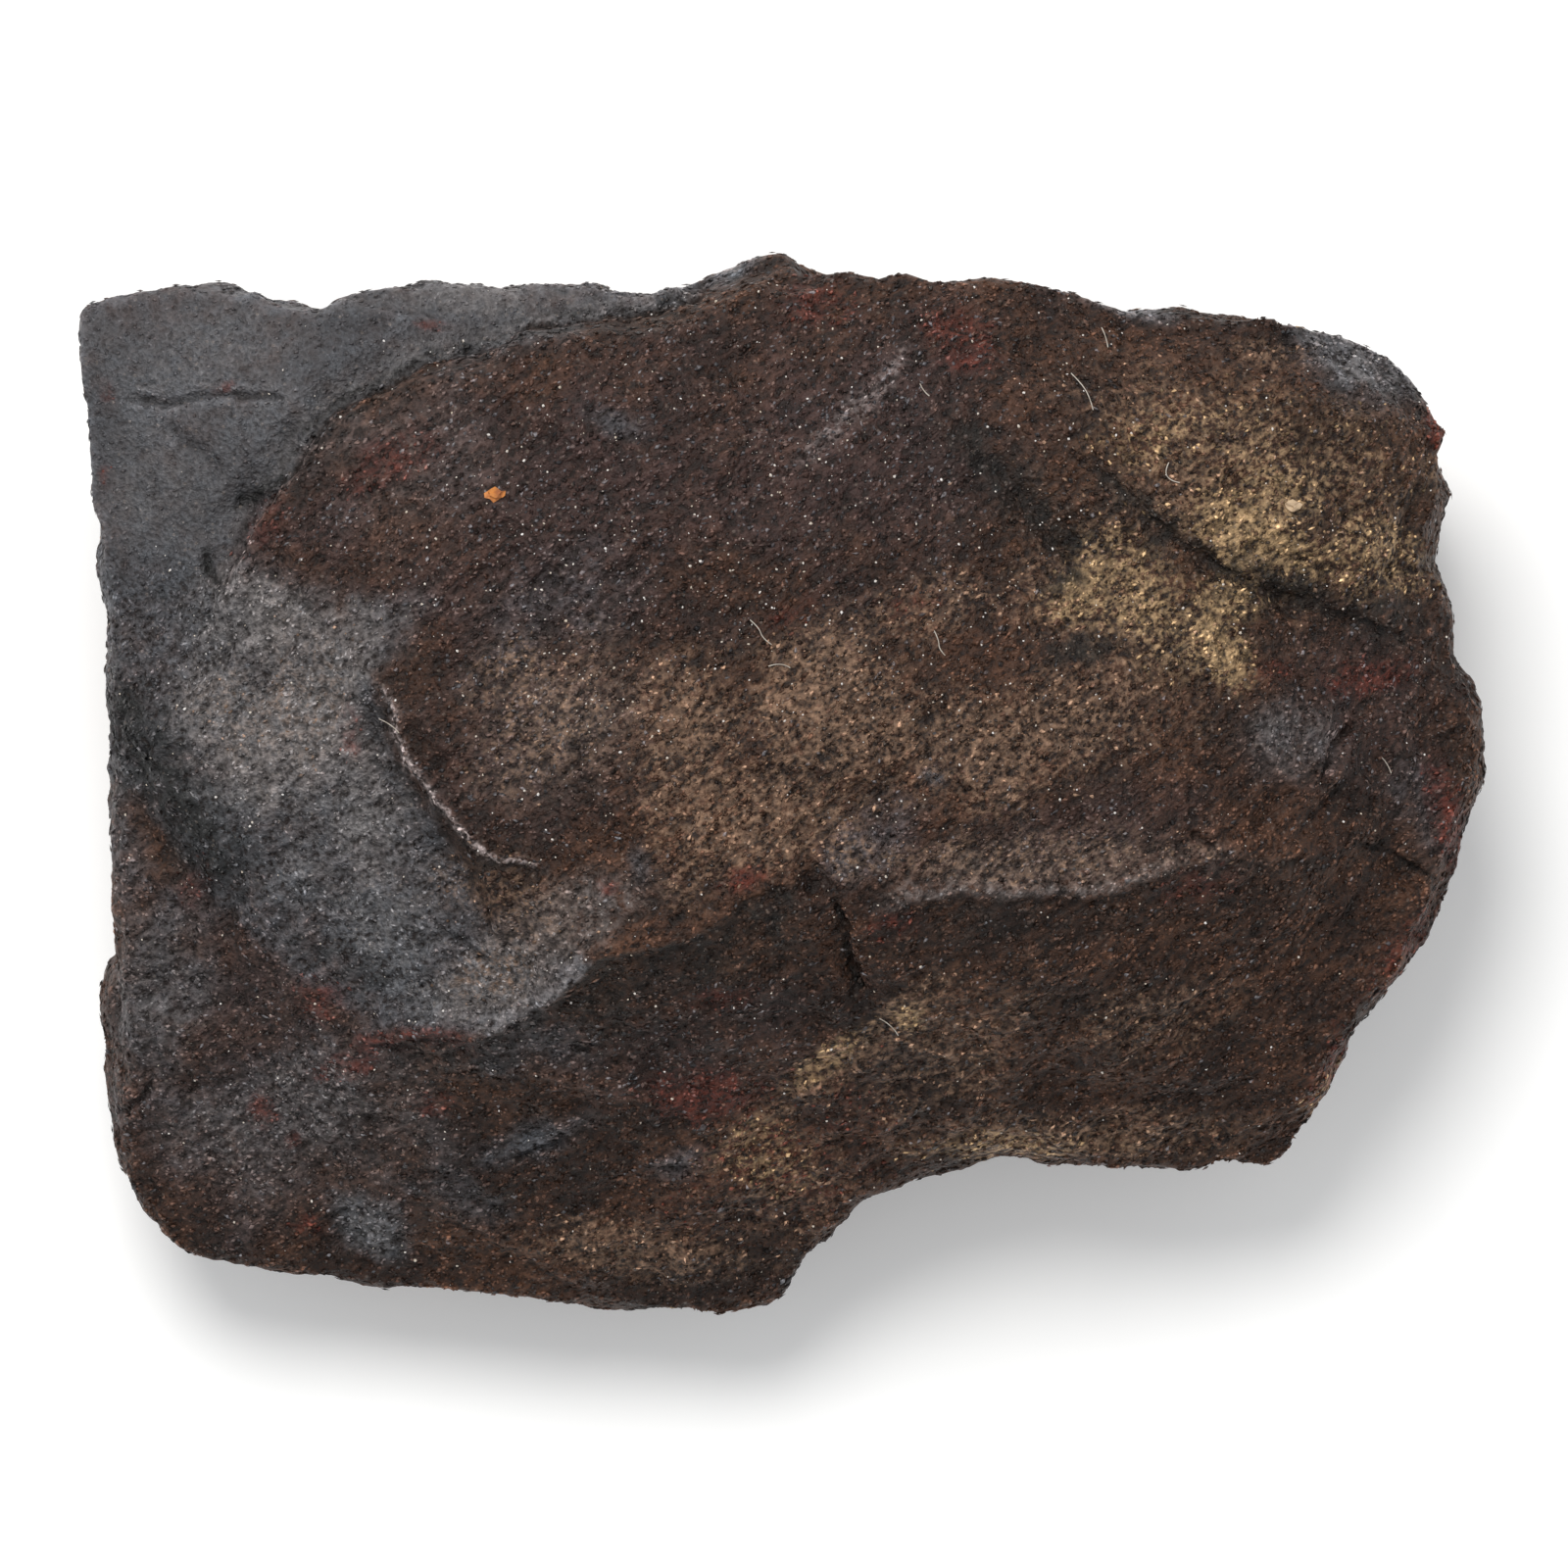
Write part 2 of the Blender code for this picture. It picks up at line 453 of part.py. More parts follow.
def warped(points):
    """The points pushed about a little, so that the chips get ragged borders."""
    shifts = [noise_at(points, BORDER_WARP_SIZE, seed) for seed in (31, 32, 33)]
    return points + BORDER_WARP * np.array(shifts).T


def chip_relief(points, size, tilt):
    """Chips of that size, each tilted its own way, as a height at each point. Neighbours meet in a slope."""
    heights = np.empty(len(points))
    for i, point in enumerate(points / size):
        distances, centres = noise.voronoi(Vector(point))
        share = 0.5 + 0.5 * min((distances[1] - distances[0]) / CHIP_BORDER, 1.0)
        leans = [noise.cell_vector(centre * 7.31) for centre in centres[:2]]
        own, other = [(Vector(point) - c).dot(lean) for c, lean in zip(centres, leans)]
        heights[i] = share * own + (1 - share) * other
    return heights * size * tilt


def ledge_relief(points):
    """Small ledges that step across the grain, as a height at each point."""
    across = np.array(facing(LEDGE_HEADING, 0))
    place = points @ across / LEDGE_SPACING + LEDGE_WANDER * noise_at(points, LEDGE_WANDER_SIZE, 7)
    within = place - np.floor(place)
    return LEDGE_HEIGHT * (within - smooth_ramp(within, 1 - LEDGE_RISER, 1.0) - 0.5)


def roughen(mesh):
    """Push the skin in and out by the chips, ledges and lumps of broken ore."""
    points, normals = read_points(mesh), read_normals(mesh)
    ragged = warped(points)
    steep = smooth_ramp(-normals[:, 2], -0.97, -0.75)
    rise = ledge_relief(points) * (FLAT_LEDGE_SHARE + (1 - FLAT_LEDGE_SHARE) * steep)
    for size, tilt in CHIP_SIZES_AND_TILTS:
        rise += chip_relief(ragged, size, tilt)
    for seed, (size, height) in enumerate(LUMP_SIZES_AND_HEIGHTS):
        rise += height * noise_at(points, size, seed)
    sideways = smooth_ramp(-normals[:, 2], -0.35, 0.1)
    rise += sideways * (SIDE_BOOST * rise + chip_relief(ragged, SIDE_CHIP_SIZE, SIDE_CHIP_TILT))
    rim_gap, _ = distance_to_line(points, OUTLINE, closed=True, axes=3)
    calm = 0.25 + 0.75 * smooth_ramp(rim_gap, 0.0, RIM_CALM)
    calm *= 1 - (1 - SMOOTH_SHARE) * smooth_face_share(points, normals)
    calm *= 1 - (1 - BASE_CALM) * smooth_ramp(-normals[:, 2], 0.99, 0.998)
    write_points(mesh, points + normals * (rise * calm)[:, None])


def open_cracks(mesh):
    """Sink each crack into the upper face. It is widest and deepest at its middle and closes at its ends."""
    points, normals = read_points(mesh), read_normals(mesh)
    upward = normals[:, 2] > 0.1
    for line, width, depth in CRACKS.values():
        gap, share = distance_to_line(points, line)
        fullness = np.sin(np.pi * np.clip(share, 0.04, 0.96)) ** 0.6
        near = np.clip(1 - gap / (width * CRACK_LIP * 2), 0, 1)
        points[:, 2] -= np.where(upward, depth * fullness * near, 0)
    write_points(mesh, points)


def flatten_contact(mesh):
    """Wear the lowest bumps flat where the block rests, and set that face at height 0."""
    points = read_points(mesh)
    points[:, 2] = np.maximum(points[:, 2] - REST_LEVEL - CONTACT_DEPTH, 0)
    write_points(mesh, points)


def fit_driving_size(ore):
    """Bring the block to its driving length, width and height, centred over the origin."""
    points = read_points(ore.data)
    points[:, 2] = np.where(points[:, 2] < CONTACT_SNAP, 0, points[:, 2])
    low, high = points.min(axis=0), points.max(axis=0)
    centre = np.array((*(low + high)[:2] / 2, 0.0))
    size = np.array((BLOCK_LENGTH, BLOCK_WIDTH, BLOCK_HEIGHT))
    write_points(ore.data, (points - centre) * size / (high - low))


def mark_thinning(ore):
    """Ask for more thinning on the underside than on the faces that show."""
    group = ore.vertex_groups.new(name="thinning")
    hidden = smooth_ramp(-read_normals(ore.data)[:, 2], 0.2, 0.75)
    weights = FACE_THINNING + (UNDERSIDE_THINNING - FACE_THINNING) * hidden
    for index, weight in enumerate(weights):
        group.add([index], float(weight), "REPLACE")
    return group.name


def lighten(ore):
    """Thin the skin to the triangles that its shape needs."""
    triangles = sum(len(face.vertices) - 2 for face in ore.data.polygons)
    thin = ore.modifiers.new("lighten", "DECIMATE")
    thin.decimate_type = "COLLAPSE"
    thin.use_collapse_triangulate = True
    thin.vertex_group = mark_thinning(ore)
    thin.vertex_group_factor = 1.0
    thin.ratio = TRIANGLE_TARGET / triangles
    bake_modifiers(ore)
    ore.vertex_groups.clear()


def ore_material():
    """Dark red-brown iron ore with a dull metallic sheen."""
    material = bpy.data.materials.new("hematite")
    material.use_nodes = True
    shader = material.node_tree.nodes["Principled BSDF"]
    shader.inputs["Base Color"].default_value = (0.062, 0.046, 0.043, 1.0)
    shader.inputs["Roughness"].default_value = 0.62
    shader.inputs["Metallic"].default_value = 0.15
    return material


def build():
    """Make the ore."""
    clear_scene()
    ore = broken_block()
    scoop_scars(ore)
    even_skin(ore)
    soften_faces(ore.data)
    roughen(ore.data)
    open_cracks(ore.data)
    flatten_contact(ore.data)
    lighten(ore)
    fit_driving_size(ore)
    ore.data.materials.clear()
    ore.data.materials.append(ore_material())


build()
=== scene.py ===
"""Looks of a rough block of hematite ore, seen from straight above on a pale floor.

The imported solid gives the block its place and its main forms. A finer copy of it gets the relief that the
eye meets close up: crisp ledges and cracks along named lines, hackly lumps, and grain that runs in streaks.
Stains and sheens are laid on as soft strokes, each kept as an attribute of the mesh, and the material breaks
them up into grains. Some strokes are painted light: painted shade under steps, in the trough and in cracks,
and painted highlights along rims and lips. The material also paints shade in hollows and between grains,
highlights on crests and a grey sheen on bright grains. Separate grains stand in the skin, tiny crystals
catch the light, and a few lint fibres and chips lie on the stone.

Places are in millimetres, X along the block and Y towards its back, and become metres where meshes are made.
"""

from __future__ import annotations

import json
import logging
import math
from collections.abc import Sequence
from dataclasses import dataclass, field
from enum import Enum

import bpy
import numpy as np
from mathutils import Euler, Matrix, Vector, noise

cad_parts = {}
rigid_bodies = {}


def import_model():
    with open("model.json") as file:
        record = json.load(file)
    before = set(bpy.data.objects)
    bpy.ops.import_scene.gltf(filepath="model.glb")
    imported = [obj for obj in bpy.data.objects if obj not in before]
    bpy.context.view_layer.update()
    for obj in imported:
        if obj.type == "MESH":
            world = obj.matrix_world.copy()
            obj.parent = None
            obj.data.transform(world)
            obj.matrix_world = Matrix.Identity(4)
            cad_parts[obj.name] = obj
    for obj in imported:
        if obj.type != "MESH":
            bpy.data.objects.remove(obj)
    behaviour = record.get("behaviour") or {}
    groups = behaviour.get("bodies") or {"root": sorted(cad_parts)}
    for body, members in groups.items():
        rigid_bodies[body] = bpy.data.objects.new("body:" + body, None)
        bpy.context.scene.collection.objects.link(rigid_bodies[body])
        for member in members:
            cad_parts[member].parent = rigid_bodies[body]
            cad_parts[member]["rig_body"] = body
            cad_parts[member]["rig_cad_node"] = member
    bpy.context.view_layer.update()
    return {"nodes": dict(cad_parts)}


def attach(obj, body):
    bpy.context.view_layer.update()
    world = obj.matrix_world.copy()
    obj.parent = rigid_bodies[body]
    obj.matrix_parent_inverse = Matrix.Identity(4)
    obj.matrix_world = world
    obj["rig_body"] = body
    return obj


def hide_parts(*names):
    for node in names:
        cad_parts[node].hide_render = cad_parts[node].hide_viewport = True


MM = 0.001
NODE = "hematite_ore"
BODY = "root"

Place = tuple[float, float]
Colour = tuple[float, float, float]
Span = tuple[float, float]

log = logging.getLogger("hematite")


class Tint(Enum):
    """The stains and sheens of the ore, each the name of one attribute of its mesh, some with painted light
    and shade.
    """

    STEEL = "steel"
    PLUM = "plum"
    TAN = "tan"
    OCHRE = "ochre"
    RUST = "rust"
    DARK_AND_PAINTED_SHADE = "dark_and_painted_shade"
    PALE = "pale"
    ASH_AND_PAINTED_LIGHT = "ash_and_painted_light"


class Profile(Enum):
    """How a mark changes the surface across its line."""

    BAND = "band"
    LEDGE = "ledge"


@dataclass(frozen=True)
class Mark:
    """A line along which the surface sinks, rises or steps.

    A band is highest or deepest on its line. A ledge lifts the side that lies to the left of its line, and
    the lift fades out over its reach.
    """

    name: str
    line: tuple[Place, ...]
    width: float
    height: float
    profile: Profile = Profile.BAND
    reach: float = 4.0


@dataclass(frozen=True)
class Stain:
    """A soft patch of one tint: its middle, its half lengths, its heading in degrees and its strength."""

    tint: Tint
    middle: Place
    half: Place
    heading: float
    strength: float


@dataclass(frozen=True)
class Seam:
    """A tint that follows a line: a vein, a dark groove, or painted shade and painted light along a step.

    Its side is 1 or -1 where it shows only to the left or only to the right of its line, and 0 for both.
    """

    tint: Tint
    line: tuple[Place, ...]
    width: float
    strength: float = 1.0
    side: int = 0


@dataclass(frozen=True)
class Layer:
    """One layer of roughness: its pattern, its features' size, its height and whether it is streaked."""

    name: str
    pattern: str
    size: float
    height: float
    streaked: bool = False


@dataclass(frozen=True)
class TintLook:
    """One tint's colour, how fully it can cover the ground and how far fine or wide noise breaks it up."""

    colour: Colour
    cover: float
    break_up: float
    fine: bool = False


@dataclass(frozen=True)
class HiddenTint:
    """How one tint is spread over the sides and the underside: by noise of a size, from a level upwards."""

    size: float
    seed: int
    level: float
    strength: float


@dataclass(frozen=True)
class Fibre:
    """A lint fibre: the places it passes over, seen from above, and how high it lies above the skin there."""

    path: tuple[Place, ...]
    lift: float = 0.12


def stains(tint: Tint, *rows: tuple[Place, Place, float, float]) -> tuple[Stain, ...]:
    """Return the stains of one tint, from rows of middle, half lengths, heading and strength."""
    return tuple(Stain(tint, *row) for row in rows)


# Lines on the upper side of the block, seen from above.
SLAB_EDGE = (
    (-36.6, 12.4), (-35.2, 15.0), (-34.3, 17.0), (-33.0, 18.8), (-31.6, 20.7), (-30.3, 22.8), (-29.0, 24.3),
    (-26.8, 25.2), (-24.5, 26.5), (-22.9, 27.4), (-20.5, 27.9), (-18.9, 28.3), (-17.7, 29.1), (-16.4, 29.8),
    (-13.0, 30.0), (-11.0, 30.3), (-8.3, 30.7), (-5.7, 31.5), (-4.3, 32.6),
)
SLAB_FOOT = (
    (-36.9, 12.6), (-35.6, 15.2), (-34.8, 17.2), (-33.5, 19.1), (-32.1, 21.0), (-30.7, 23.2), (-29.3, 24.8),
    (-26.9, 25.8), (-24.6, 27.0), (-22.9, 28.0), (-20.5, 28.5), (-18.9, 28.9), (-17.4, 29.8), (-15.9, 30.4),
    (-12.9, 30.6), (-10.9, 30.9), (-8.2, 31.3), (-5.7, 32.1),
)
VEIN = (
    (-26.2, 6.6), (-25.3, 4.8), (-25.1, 3.2), (-24.4, 1.5), (-23.3, 0.1), (-22.3, -1.3), (-21.1, -2.9),
    (-19.9, -4.0), (-19.2, -4.7), (-16.7, -5.2), (-15.4, -5.4),
)
FRONT_CREST = (
    (-28.5, -17.3), (-26.0, -16.7), (-22.5, -16.3), (-20.2, -16.6), (-18.3, -16.1), (-16.7, -14.9),
    (-14.8, -13.8), (-13.2, -12.8), (-12.1, -11.4), (-10.0, -10.9), (-8.4, -10.6), (-5.8, -9.8), (-3.9, -8.7),
    (-2.0, -7.2), (0.0, -6.6), (2.0, -6.2),
)
EAST_CREST = (
    (5.1, -8.9), (8.0, -7.7), (10.6, -7.4), (12.8, -7.2), (16.0, -7.4), (19.2, -7.2), (20.8, -7.1),
    (23.0, -6.3), (25.3, -5.5), (27.8, -5.1), (30.4, -4.6), (34.0, -4.9), (37.0, -4.2),
)
DARK_SEAM = ((10.5, 23.5), (13.0, 21.3), (15.5, 18.6), (17.8, 16.2), (19.5, 14.6))
HUMP_FOOT = (
    (19.8, 21.0), (22.2, 18.8), (25.0, 16.3), (28.0, 14.3), (31.3, 12.6), (34.5, 11.6), (37.5, 10.7),
    (41.0, 9.6),
)
TROUGH = ((-43.6, 6.4), (-42.2, 3.3), (-40.0, 0.0), (-37.8, -3.4), (-35.8, -6.4), (-34.4, -8.4))
NOTCH = ((3.4, -7.4), (3.7, -9.0), (4.0, -10.3), (4.3, -11.3), (4.8, -12.6), (5.2, -13.3))
GAPE = ((37.3, -3.8), (39.5, -4.4), (41.0, -5.5), (42.6, -6.4))
TIP = ((-37.7, 15.2), (-37.3, 14.0), (-36.9, 12.7))
LIP = ((-35.6, 18.1), (-34.2, 18.8), (-33.0, 19.6))
VEIN_FOOT = (
    (-15.2, -5.4), (-16.7, -5.3), (-18.0, -4.9), (-19.4, -4.8), (-20.0, -4.1), (-21.2, -2.9),
    (-22.4, -1.3), (-23.4, 0.1), (-24.5, 1.5), (-25.2, 3.2), (-25.4, 4.8), (-26.3, 6.8),
)
VEIN_LIP = (
    (-26.0, 6.8), (-25.1, 4.9), (-24.9, 3.2), (-24.2, 1.6), (-23.1, 0.2), (-22.1, -1.2),
    (-20.9, -2.8), (-19.8, -3.9), (-19.0, -4.5), (-16.6, -5.0), (-15.3, -5.2),
)
PLATEAU = ((3.4, -7.2), (3.0, -6.0), (2.0, -4.6), (2.6, -3.4), (4.0, -2.2), (6.0, -1.2), (8.6, -0.9))
SHELF_CRACK = ((-43.0, 25.2), (-40.0, 24.7), (-37.5, 25.2), (-35.5, 25.3), (-32.3, 25.2))
SHELF_STEP = ((-29.0, 31.8), (-26.5, 31.0), (-24.0, 30.4), (-20.0, 30.2))
FACE_GROOVE = ((-34.6, 14.6), (-32.4, 13.0), (-30.0, 10.4), (-28.6, 9.4))

# What the lines do to the skin: widths, heights and reaches in millimetres.
MARKS = (
    Mark("slab_ledge", SLAB_EDGE, 0.3, -0.85, Profile.LEDGE, 3.2),
    Mark("slab_foot", SLAB_FOOT, 0.2, -0.35),
    Mark("vein_ledge", VEIN_FOOT, 0.3, -0.35, Profile.LEDGE, 3.6),
    Mark("plateau_ledge", PLATEAU, 0.3, -0.5, Profile.LEDGE, 3.0),
    Mark("west_step", ((-19.5, -5.6), (-18.8, -8.0), (-18.5, -9.8)), 0.3, 0.35, Profile.LEDGE, 2.0),
    Mark("vein_lip", VEIN_LIP, 0.35, 0.22),
    Mark("front_crest", FRONT_CREST, 0.35, 0.6, Profile.LEDGE, 2.6),
    Mark("east_crest", EAST_CREST, 0.4, 0.4, Profile.LEDGE, 2.2),
    Mark("notch", NOTCH, 0.2, -0.8),
    Mark("shelf_crack", SHELF_CRACK, 0.24, -0.55),
    Mark("shelf_crease", ((-40.6, 23.6), (-38.5, 22.0), (-36.5, 20.3)), 0.5, -0.25),
    Mark("tip_notch", TIP, 0.26, -0.4),
    Mark("lip_check", LIP, 0.2, -0.25),
    Mark("slab_groove", FACE_GROOVE, 0.4, -0.22),
    Mark("west_low_crack", ((-43.3, -21.6), (-42.2, -21.0), (-41.3, -20.1), (-41.2, -18.8)), 0.22, -0.5),
    Mark("east_crack", ((37.0, 3.9), (36.2, 3.1), (35.5, 2.0), (35.2, 1.0), (35.0, -0.2)), 0.26, -0.6),
    Mark("east_gape", GAPE, 0.22, -0.4),
    Mark("ridge_check", ((26.2, -3.2), (27.1, -3.6), (28.1, -3.9)), 0.24, -0.6),
    Mark("lens_crack", ((-17.6, -24.6), (-15.8, -23.9), (-14.0, -23.0)), 0.28, -0.5),
    Mark("seam_groove", DARK_SEAM, 0.9, -0.45),
    Mark("hump_groove", HUMP_FOOT, 0.6, -0.4),
    Mark("trough", TROUGH, 2.2, -0.5),
    Mark("hump_step", HUMP_FOOT, 0.35, 0.35, Profile.LEDGE, 2.4),
    Mark("patch_edge", ((30.2, 5.6), (30.4, 3.0), (31.6, 0.8), (33.6, -0.4)), 0.25, 0.3, Profile.LEDGE, 2.4),
    Mark("shelf_step", SHELF_STEP, 0.3, -0.25, Profile.LEDGE, 2.0),
    Mark("trough_check", ((-23.0, -8.6), (-20.6, -10.4), (-18.8, -11.6)), 0.25, -0.3),
)

# One row for each stain: its middle, its half lengths, its heading and its strength.
STAINS = (
    *stains(
        Tint.STEEL,
        ((-38.5, 25.5), (9.5, 8.5), 10, 0.95),
        ((-24.0, 30.4), (10.0, 2.6), -3, 0.8),
        ((-40.5, 14.0), (5.0, 9.0), 0, 0.8),
        ((-35.0, 7.0), (9.5, 9.0), 0, 0.75),
        ((-30.0, 0.5), (6.5, 10.5), 25, 0.7),
        ((-37.0, -3.0), (4.0, 9.0), 40, 0.95),
        ((-31.5, -6.5), (5.0, 4.0), -40, 1.0),
        ((-26.0, -10.5), (12.0, 4.8), -34, 1.0),
        ((-19.5, -13.5), (5.0, 2.6), -10, 0.8),
        ((36.8, 27.2), (5.4, 2.8), -24, 1.0),
        ((33.2, 2.6), (3.4, 3.4), 0, 0.3),
        ((6.0, -3.6), (3.8, 2.6), 30, 0.4),
        ((-32.0, -21.0), (11.0, 9.0), 0, 0.28),
        ((-41.0, -14.0), (4.0, 9.0), 0, 0.45),
        ((-27.4, -28.4), (3.9, 1.9), -38, 1.0),
        ((-16.4, -23.2), (3.6, 1.5), 18, 0.9),
        ((-7.0, -24.6), (2.2, 1.1), 10, 0.7),
        ((-21.5, -27.0), (4.5, 1.8), -30, 0.5),
        ((-26.8, 9.6), (3.6, 2.6), -35, 0.55),
        ((-10.6, 23.2), (2.6, 1.0), -20, 0.6),
        ((-14.0, 12.6), (6.0, 3.4), 15, 0.3),
        # The next two rows paint highlights on the lips of the back edge.
        ((-3.0, 33.6), (2.4, 0.9), 22, 0.9),
        ((22.5, 30.8), (3.4, 0.8), -14, 0.9),
        ((9.7, 0.5), (0.9, 0.7), 0, 0.9),
        ((-9.4, -5.2), (1.0, 1.4), 0, 0.7),
        ((41.5, -1.5), (2.0, 4.0), 20, 0.35),
        ((-43.0, -4.0), (2.6, 5.0), 10, 0.55),
    ),
    *stains(
        Tint.PLUM,
        ((-14.0, 19.0), (18.0, 11.0), 12, 0.95),
        ((5.0, 22.0), (12.0, 11.0), 0, 0.9),
        ((-18.0, 2.0), (8.0, 8.0), 0, 0.6),
        ((-34.0, -20.0), (12.0, 10.0), 0, 0.7),
        ((6.5, -4.0), (4.4, 2.6), 20, 0.7),
        ((20.0, -3.0), (9.0, 3.0), 4, 0.6),
        ((38.0, 5.0), (6.0, 6.0), 0, 0.6),
        ((-6.0, -17.0), (9.0, 5.0), 0, 0.6),
        ((-36.0, -10.0), (6.0, 3.4), -30, 0.5),
        ((-30.0, 16.5), (6.0, 4.6), 20, 1.0),
        ((-18.0, 31.2), (11.0, 1.8), -2, 0.5),
    ),
    *stains(
        Tint.TAN,
        ((15.0, -4.8), (13.0, 1.8), 2, 0.45),
        ((3.2, 4.6), (6.5, 6.0), 30, 0.75),
        ((-6.2, 3.6), (5.0, 5.4), 40, 0.7),
        ((-1.5, -2.0), (8.0, 4.4), 20, 0.65),
        ((15.5, 3.6), (9.0, 4.8), 25, 0.6),
        ((9.5, 11.5), (5.5, 2.6), 20, 0.45),
        # Painted light on the grey face west of the slab, which faces the light.
        ((-32.5, 5.5), (5.5, 6.5), -30, 0.2),
        ((-19.5, -12.4), (3.4, 2.2), 0, 0.3),
        ((19.5, 25.0), (5.0, 2.4), -10, 0.12),
        ((-14.5, 4.0), (7.0, 5.0), 20, 0.45),
        ((-18.0, -7.0), (5.0, 3.5), -30, 0.25),
        ((31.5, 27.8), (4.0, 1.4), -10, 0.5),
        ((24.0, -15.5), (6.5, 3.2), 15, 0.36),
        ((11.0, -17.5), (7.5, 3.4), 35, 0.4),
        ((0.0, -25.5), (7.0, 5.5), 40, 0.36),
        ((30.0, 20.0), (13.0, 8.0), -10, 0.42),
        ((21.0, 11.5), (10.0, 5.0), -35, 0.4),
        ((-9.5, -30.6), (9.0, 2.0), -4, 0.6),
        ((18.0, -22.9), (11.0, 1.9), 0, 0.62),
        ((3.0, -18.6), (8.5, 1.8), 38, 0.8),
    ),
    *stains(
        Tint.OCHRE,
        ((32.0, 20.6), (9.6, 6.2), -10, 0.22),
        ((32.4, 18.4), (5.4, 3.4), -16, 0.5),
        ((31.8, 15.9), (6.4, 2.5), -24, 1.0),
        ((38.0, 15.5), (4.0, 2.4), -20, 0.45),
        ((24.0, 22.0), (5.0, 2.6), 10, 0.26),
        ((23.8, 11.4), (6.4, 3.2), -44, 0.5),
        ((28.0, 9.0), (3.2, 1.7), -62, 0.85),
        ((19.4, 12.6), (3.0, 1.8), 30, 0.7),
        ((28.6, 12.0), (2.6, 1.6), 0, 0.7),
        ((3.0, -17.8), (4.4, 0.9), 38, 0.55),
        ((8.0, -15.2), (0.9, 0.8), 0, 0.6),
        ((-1.0, -24.0), (4.0, 3.0), 45, 0.35),
        ((14.5, -23.6), (7.0, 1.0), 0, 0.3),
        ((36.5, -20.0), (1.6, 3.0), -30, 0.5),
    ),
    *stains(
        Tint.RUST,
        ((0.0, -24.0), (8.0, 5.0), 30, 0.25),
        ((-2.6, -6.2), (1.9, 0.9), 24, 1.0),
        ((-5.0, -20.2), (4.4, 1.9), 8, 0.9),
        ((-4.4, -13.8), (2.6, 1.0), 10, 0.7),
        ((-31.4, -28.9), (1.3, 1.1), 0, 1.0),
        ((-34.0, -21.3), (0.8, 1.4), 0, 0.9),
        ((-32.0, -23.3), (0.8, 0.6), 0, 0.8),
        ((-28.2, -18.3), (2.2, 0.9), 10, 0.7),
        ((-22.6, -20.8), (1.6, 0.8), 0, 0.6),
        ((-30.2, -14.0), (2.0, 1.4), -20, 0.5),
        ((-38.2, -6.4), (1.4, 1.6), 0, 0.5),
        ((-11.3, -6.6), (0.7, 0.5), 0, 0.8),
        ((-28.0, 3.6), (0.9, 2.0), 10, 0.4),
        ((38.4, 7.0), (3.0, 1.1), 12, 0.9),
        ((31.5, 7.2), (1.6, 0.7), 0, 0.6),
        ((11.4, 28.8), (3.2, 1.8), -20, 0.6),
        ((2.4, 31.2), (3.0, 2.2), 0, 0.45),
        ((26.6, -6.6), (3.0, 1.2), 10, 0.6),
        ((7.0, -9.0), (2.4, 1.0), 10, 0.7),
        ((-26.2, 20.4), (3.4, 1.6), 30, 0.5),
        ((-33.4, 17.0), (1.6, 2.4), -25, 0.5),
        ((-36.5, 25.7), (1.0, 0.4), 20, 0.7),
        ((-23.0, 29.8), (1.2, 0.4), 0, 0.6),
        ((-44.2, 20.0), (0.6, 1.0), 0, 0.6),
        ((-44.0, 25.4), (0.5, 0.9), 0, 0.6),
        ((42.6, 23.2), (0.9, 1.6), 0, 0.9),
        ((43.6, -3.0), (1.2, 5.0), 14, 0.7),
        ((40.2, -11.0), (1.3, 5.0), -36, 0.7),
        ((36.0, -18.5), (1.4, 3.4), -16, 0.6),
        ((0.4, 11.0), (2.2, 1.0), 30, 0.35),
        ((8.2, 11.6), (2.0, 1.0), 20, 0.4),
    ),
    # Near-black patches: dark mineral, with painted shade along the foot of the hump, in the trough and below
    # the east ridge.
    *stains(
        Tint.DARK_AND_PAINTED_SHADE,
        ((18.0, 13.4), (1.7, 1.3), 30, 0.9),
        ((18.8, 8.6), (3.6, 1.2), 8, 0.9),
        ((24.6, 16.6), (3.2, 1.5), -38, 0.7),
        ((15.2, 19.0), (5.0, 2.0), -46, 0.6),
        ((33.6, 12.5), (5.0, 1.2), -22, 0.9),
        ((39.4, 10.4), (3.0, 1.6), -18, 0.7),
        ((22.0, 19.0), (3.0, 1.2), -38, 0.6),
        ((-29.0, -11.4), (1.6, 5.0), 55, 0.4),
        ((15.0, -9.6), (10.0, 1.3), 3, 0.35),
    ),
    # Painted highlights on the lips of the back edge.
    *stains(
        Tint.PALE,
        ((-3.2, 33.7), (1.8, 0.4), 24, 0.5),
        ((22.5, 30.7), (2.8, 0.4), -14, 0.5),
    ),
    # Light grey tone, and painted light on the grey face west of the slab, which faces the light.
    *stains(
        Tint.ASH_AND_PAINTED_LIGHT,
        ((-31.0, -21.5), (9.0, 5.0), 10, 0.34),
        ((-27.4, -28.4), (3.2, 1.7), -38, 0.4),
        ((-40.0, 20.0), (6.0, 5.0), 0, 0.2),
        ((-24.0, 20.0), (8.0, 6.0), 20, 0.14),
        ((-32.0, 4.5), (6.5, 8.0), -35, 1.0),
        ((-33.5, 10.0), (5.4, 3.8), -10, 0.95),
        ((-27.5, -2.0), (4.0, 5.0), 30, 0.7),
        ((-26.0, -9.0), (7.0, 3.0), -38, 0.35),
        ((-31.0, -5.5), (4.0, 4.0), -40, 0.35),
        ((-19.2, -12.8), (5.0, 2.8), 20, 0.75),
        ((-14.0, -8.5), (6.0, 2.6), 25, 0.45),
        ((17.0, -5.0), (13.0, 1.8), 2, 0.3),
        ((-14.0, 4.0), (7.0, 5.0), 20, 0.3),
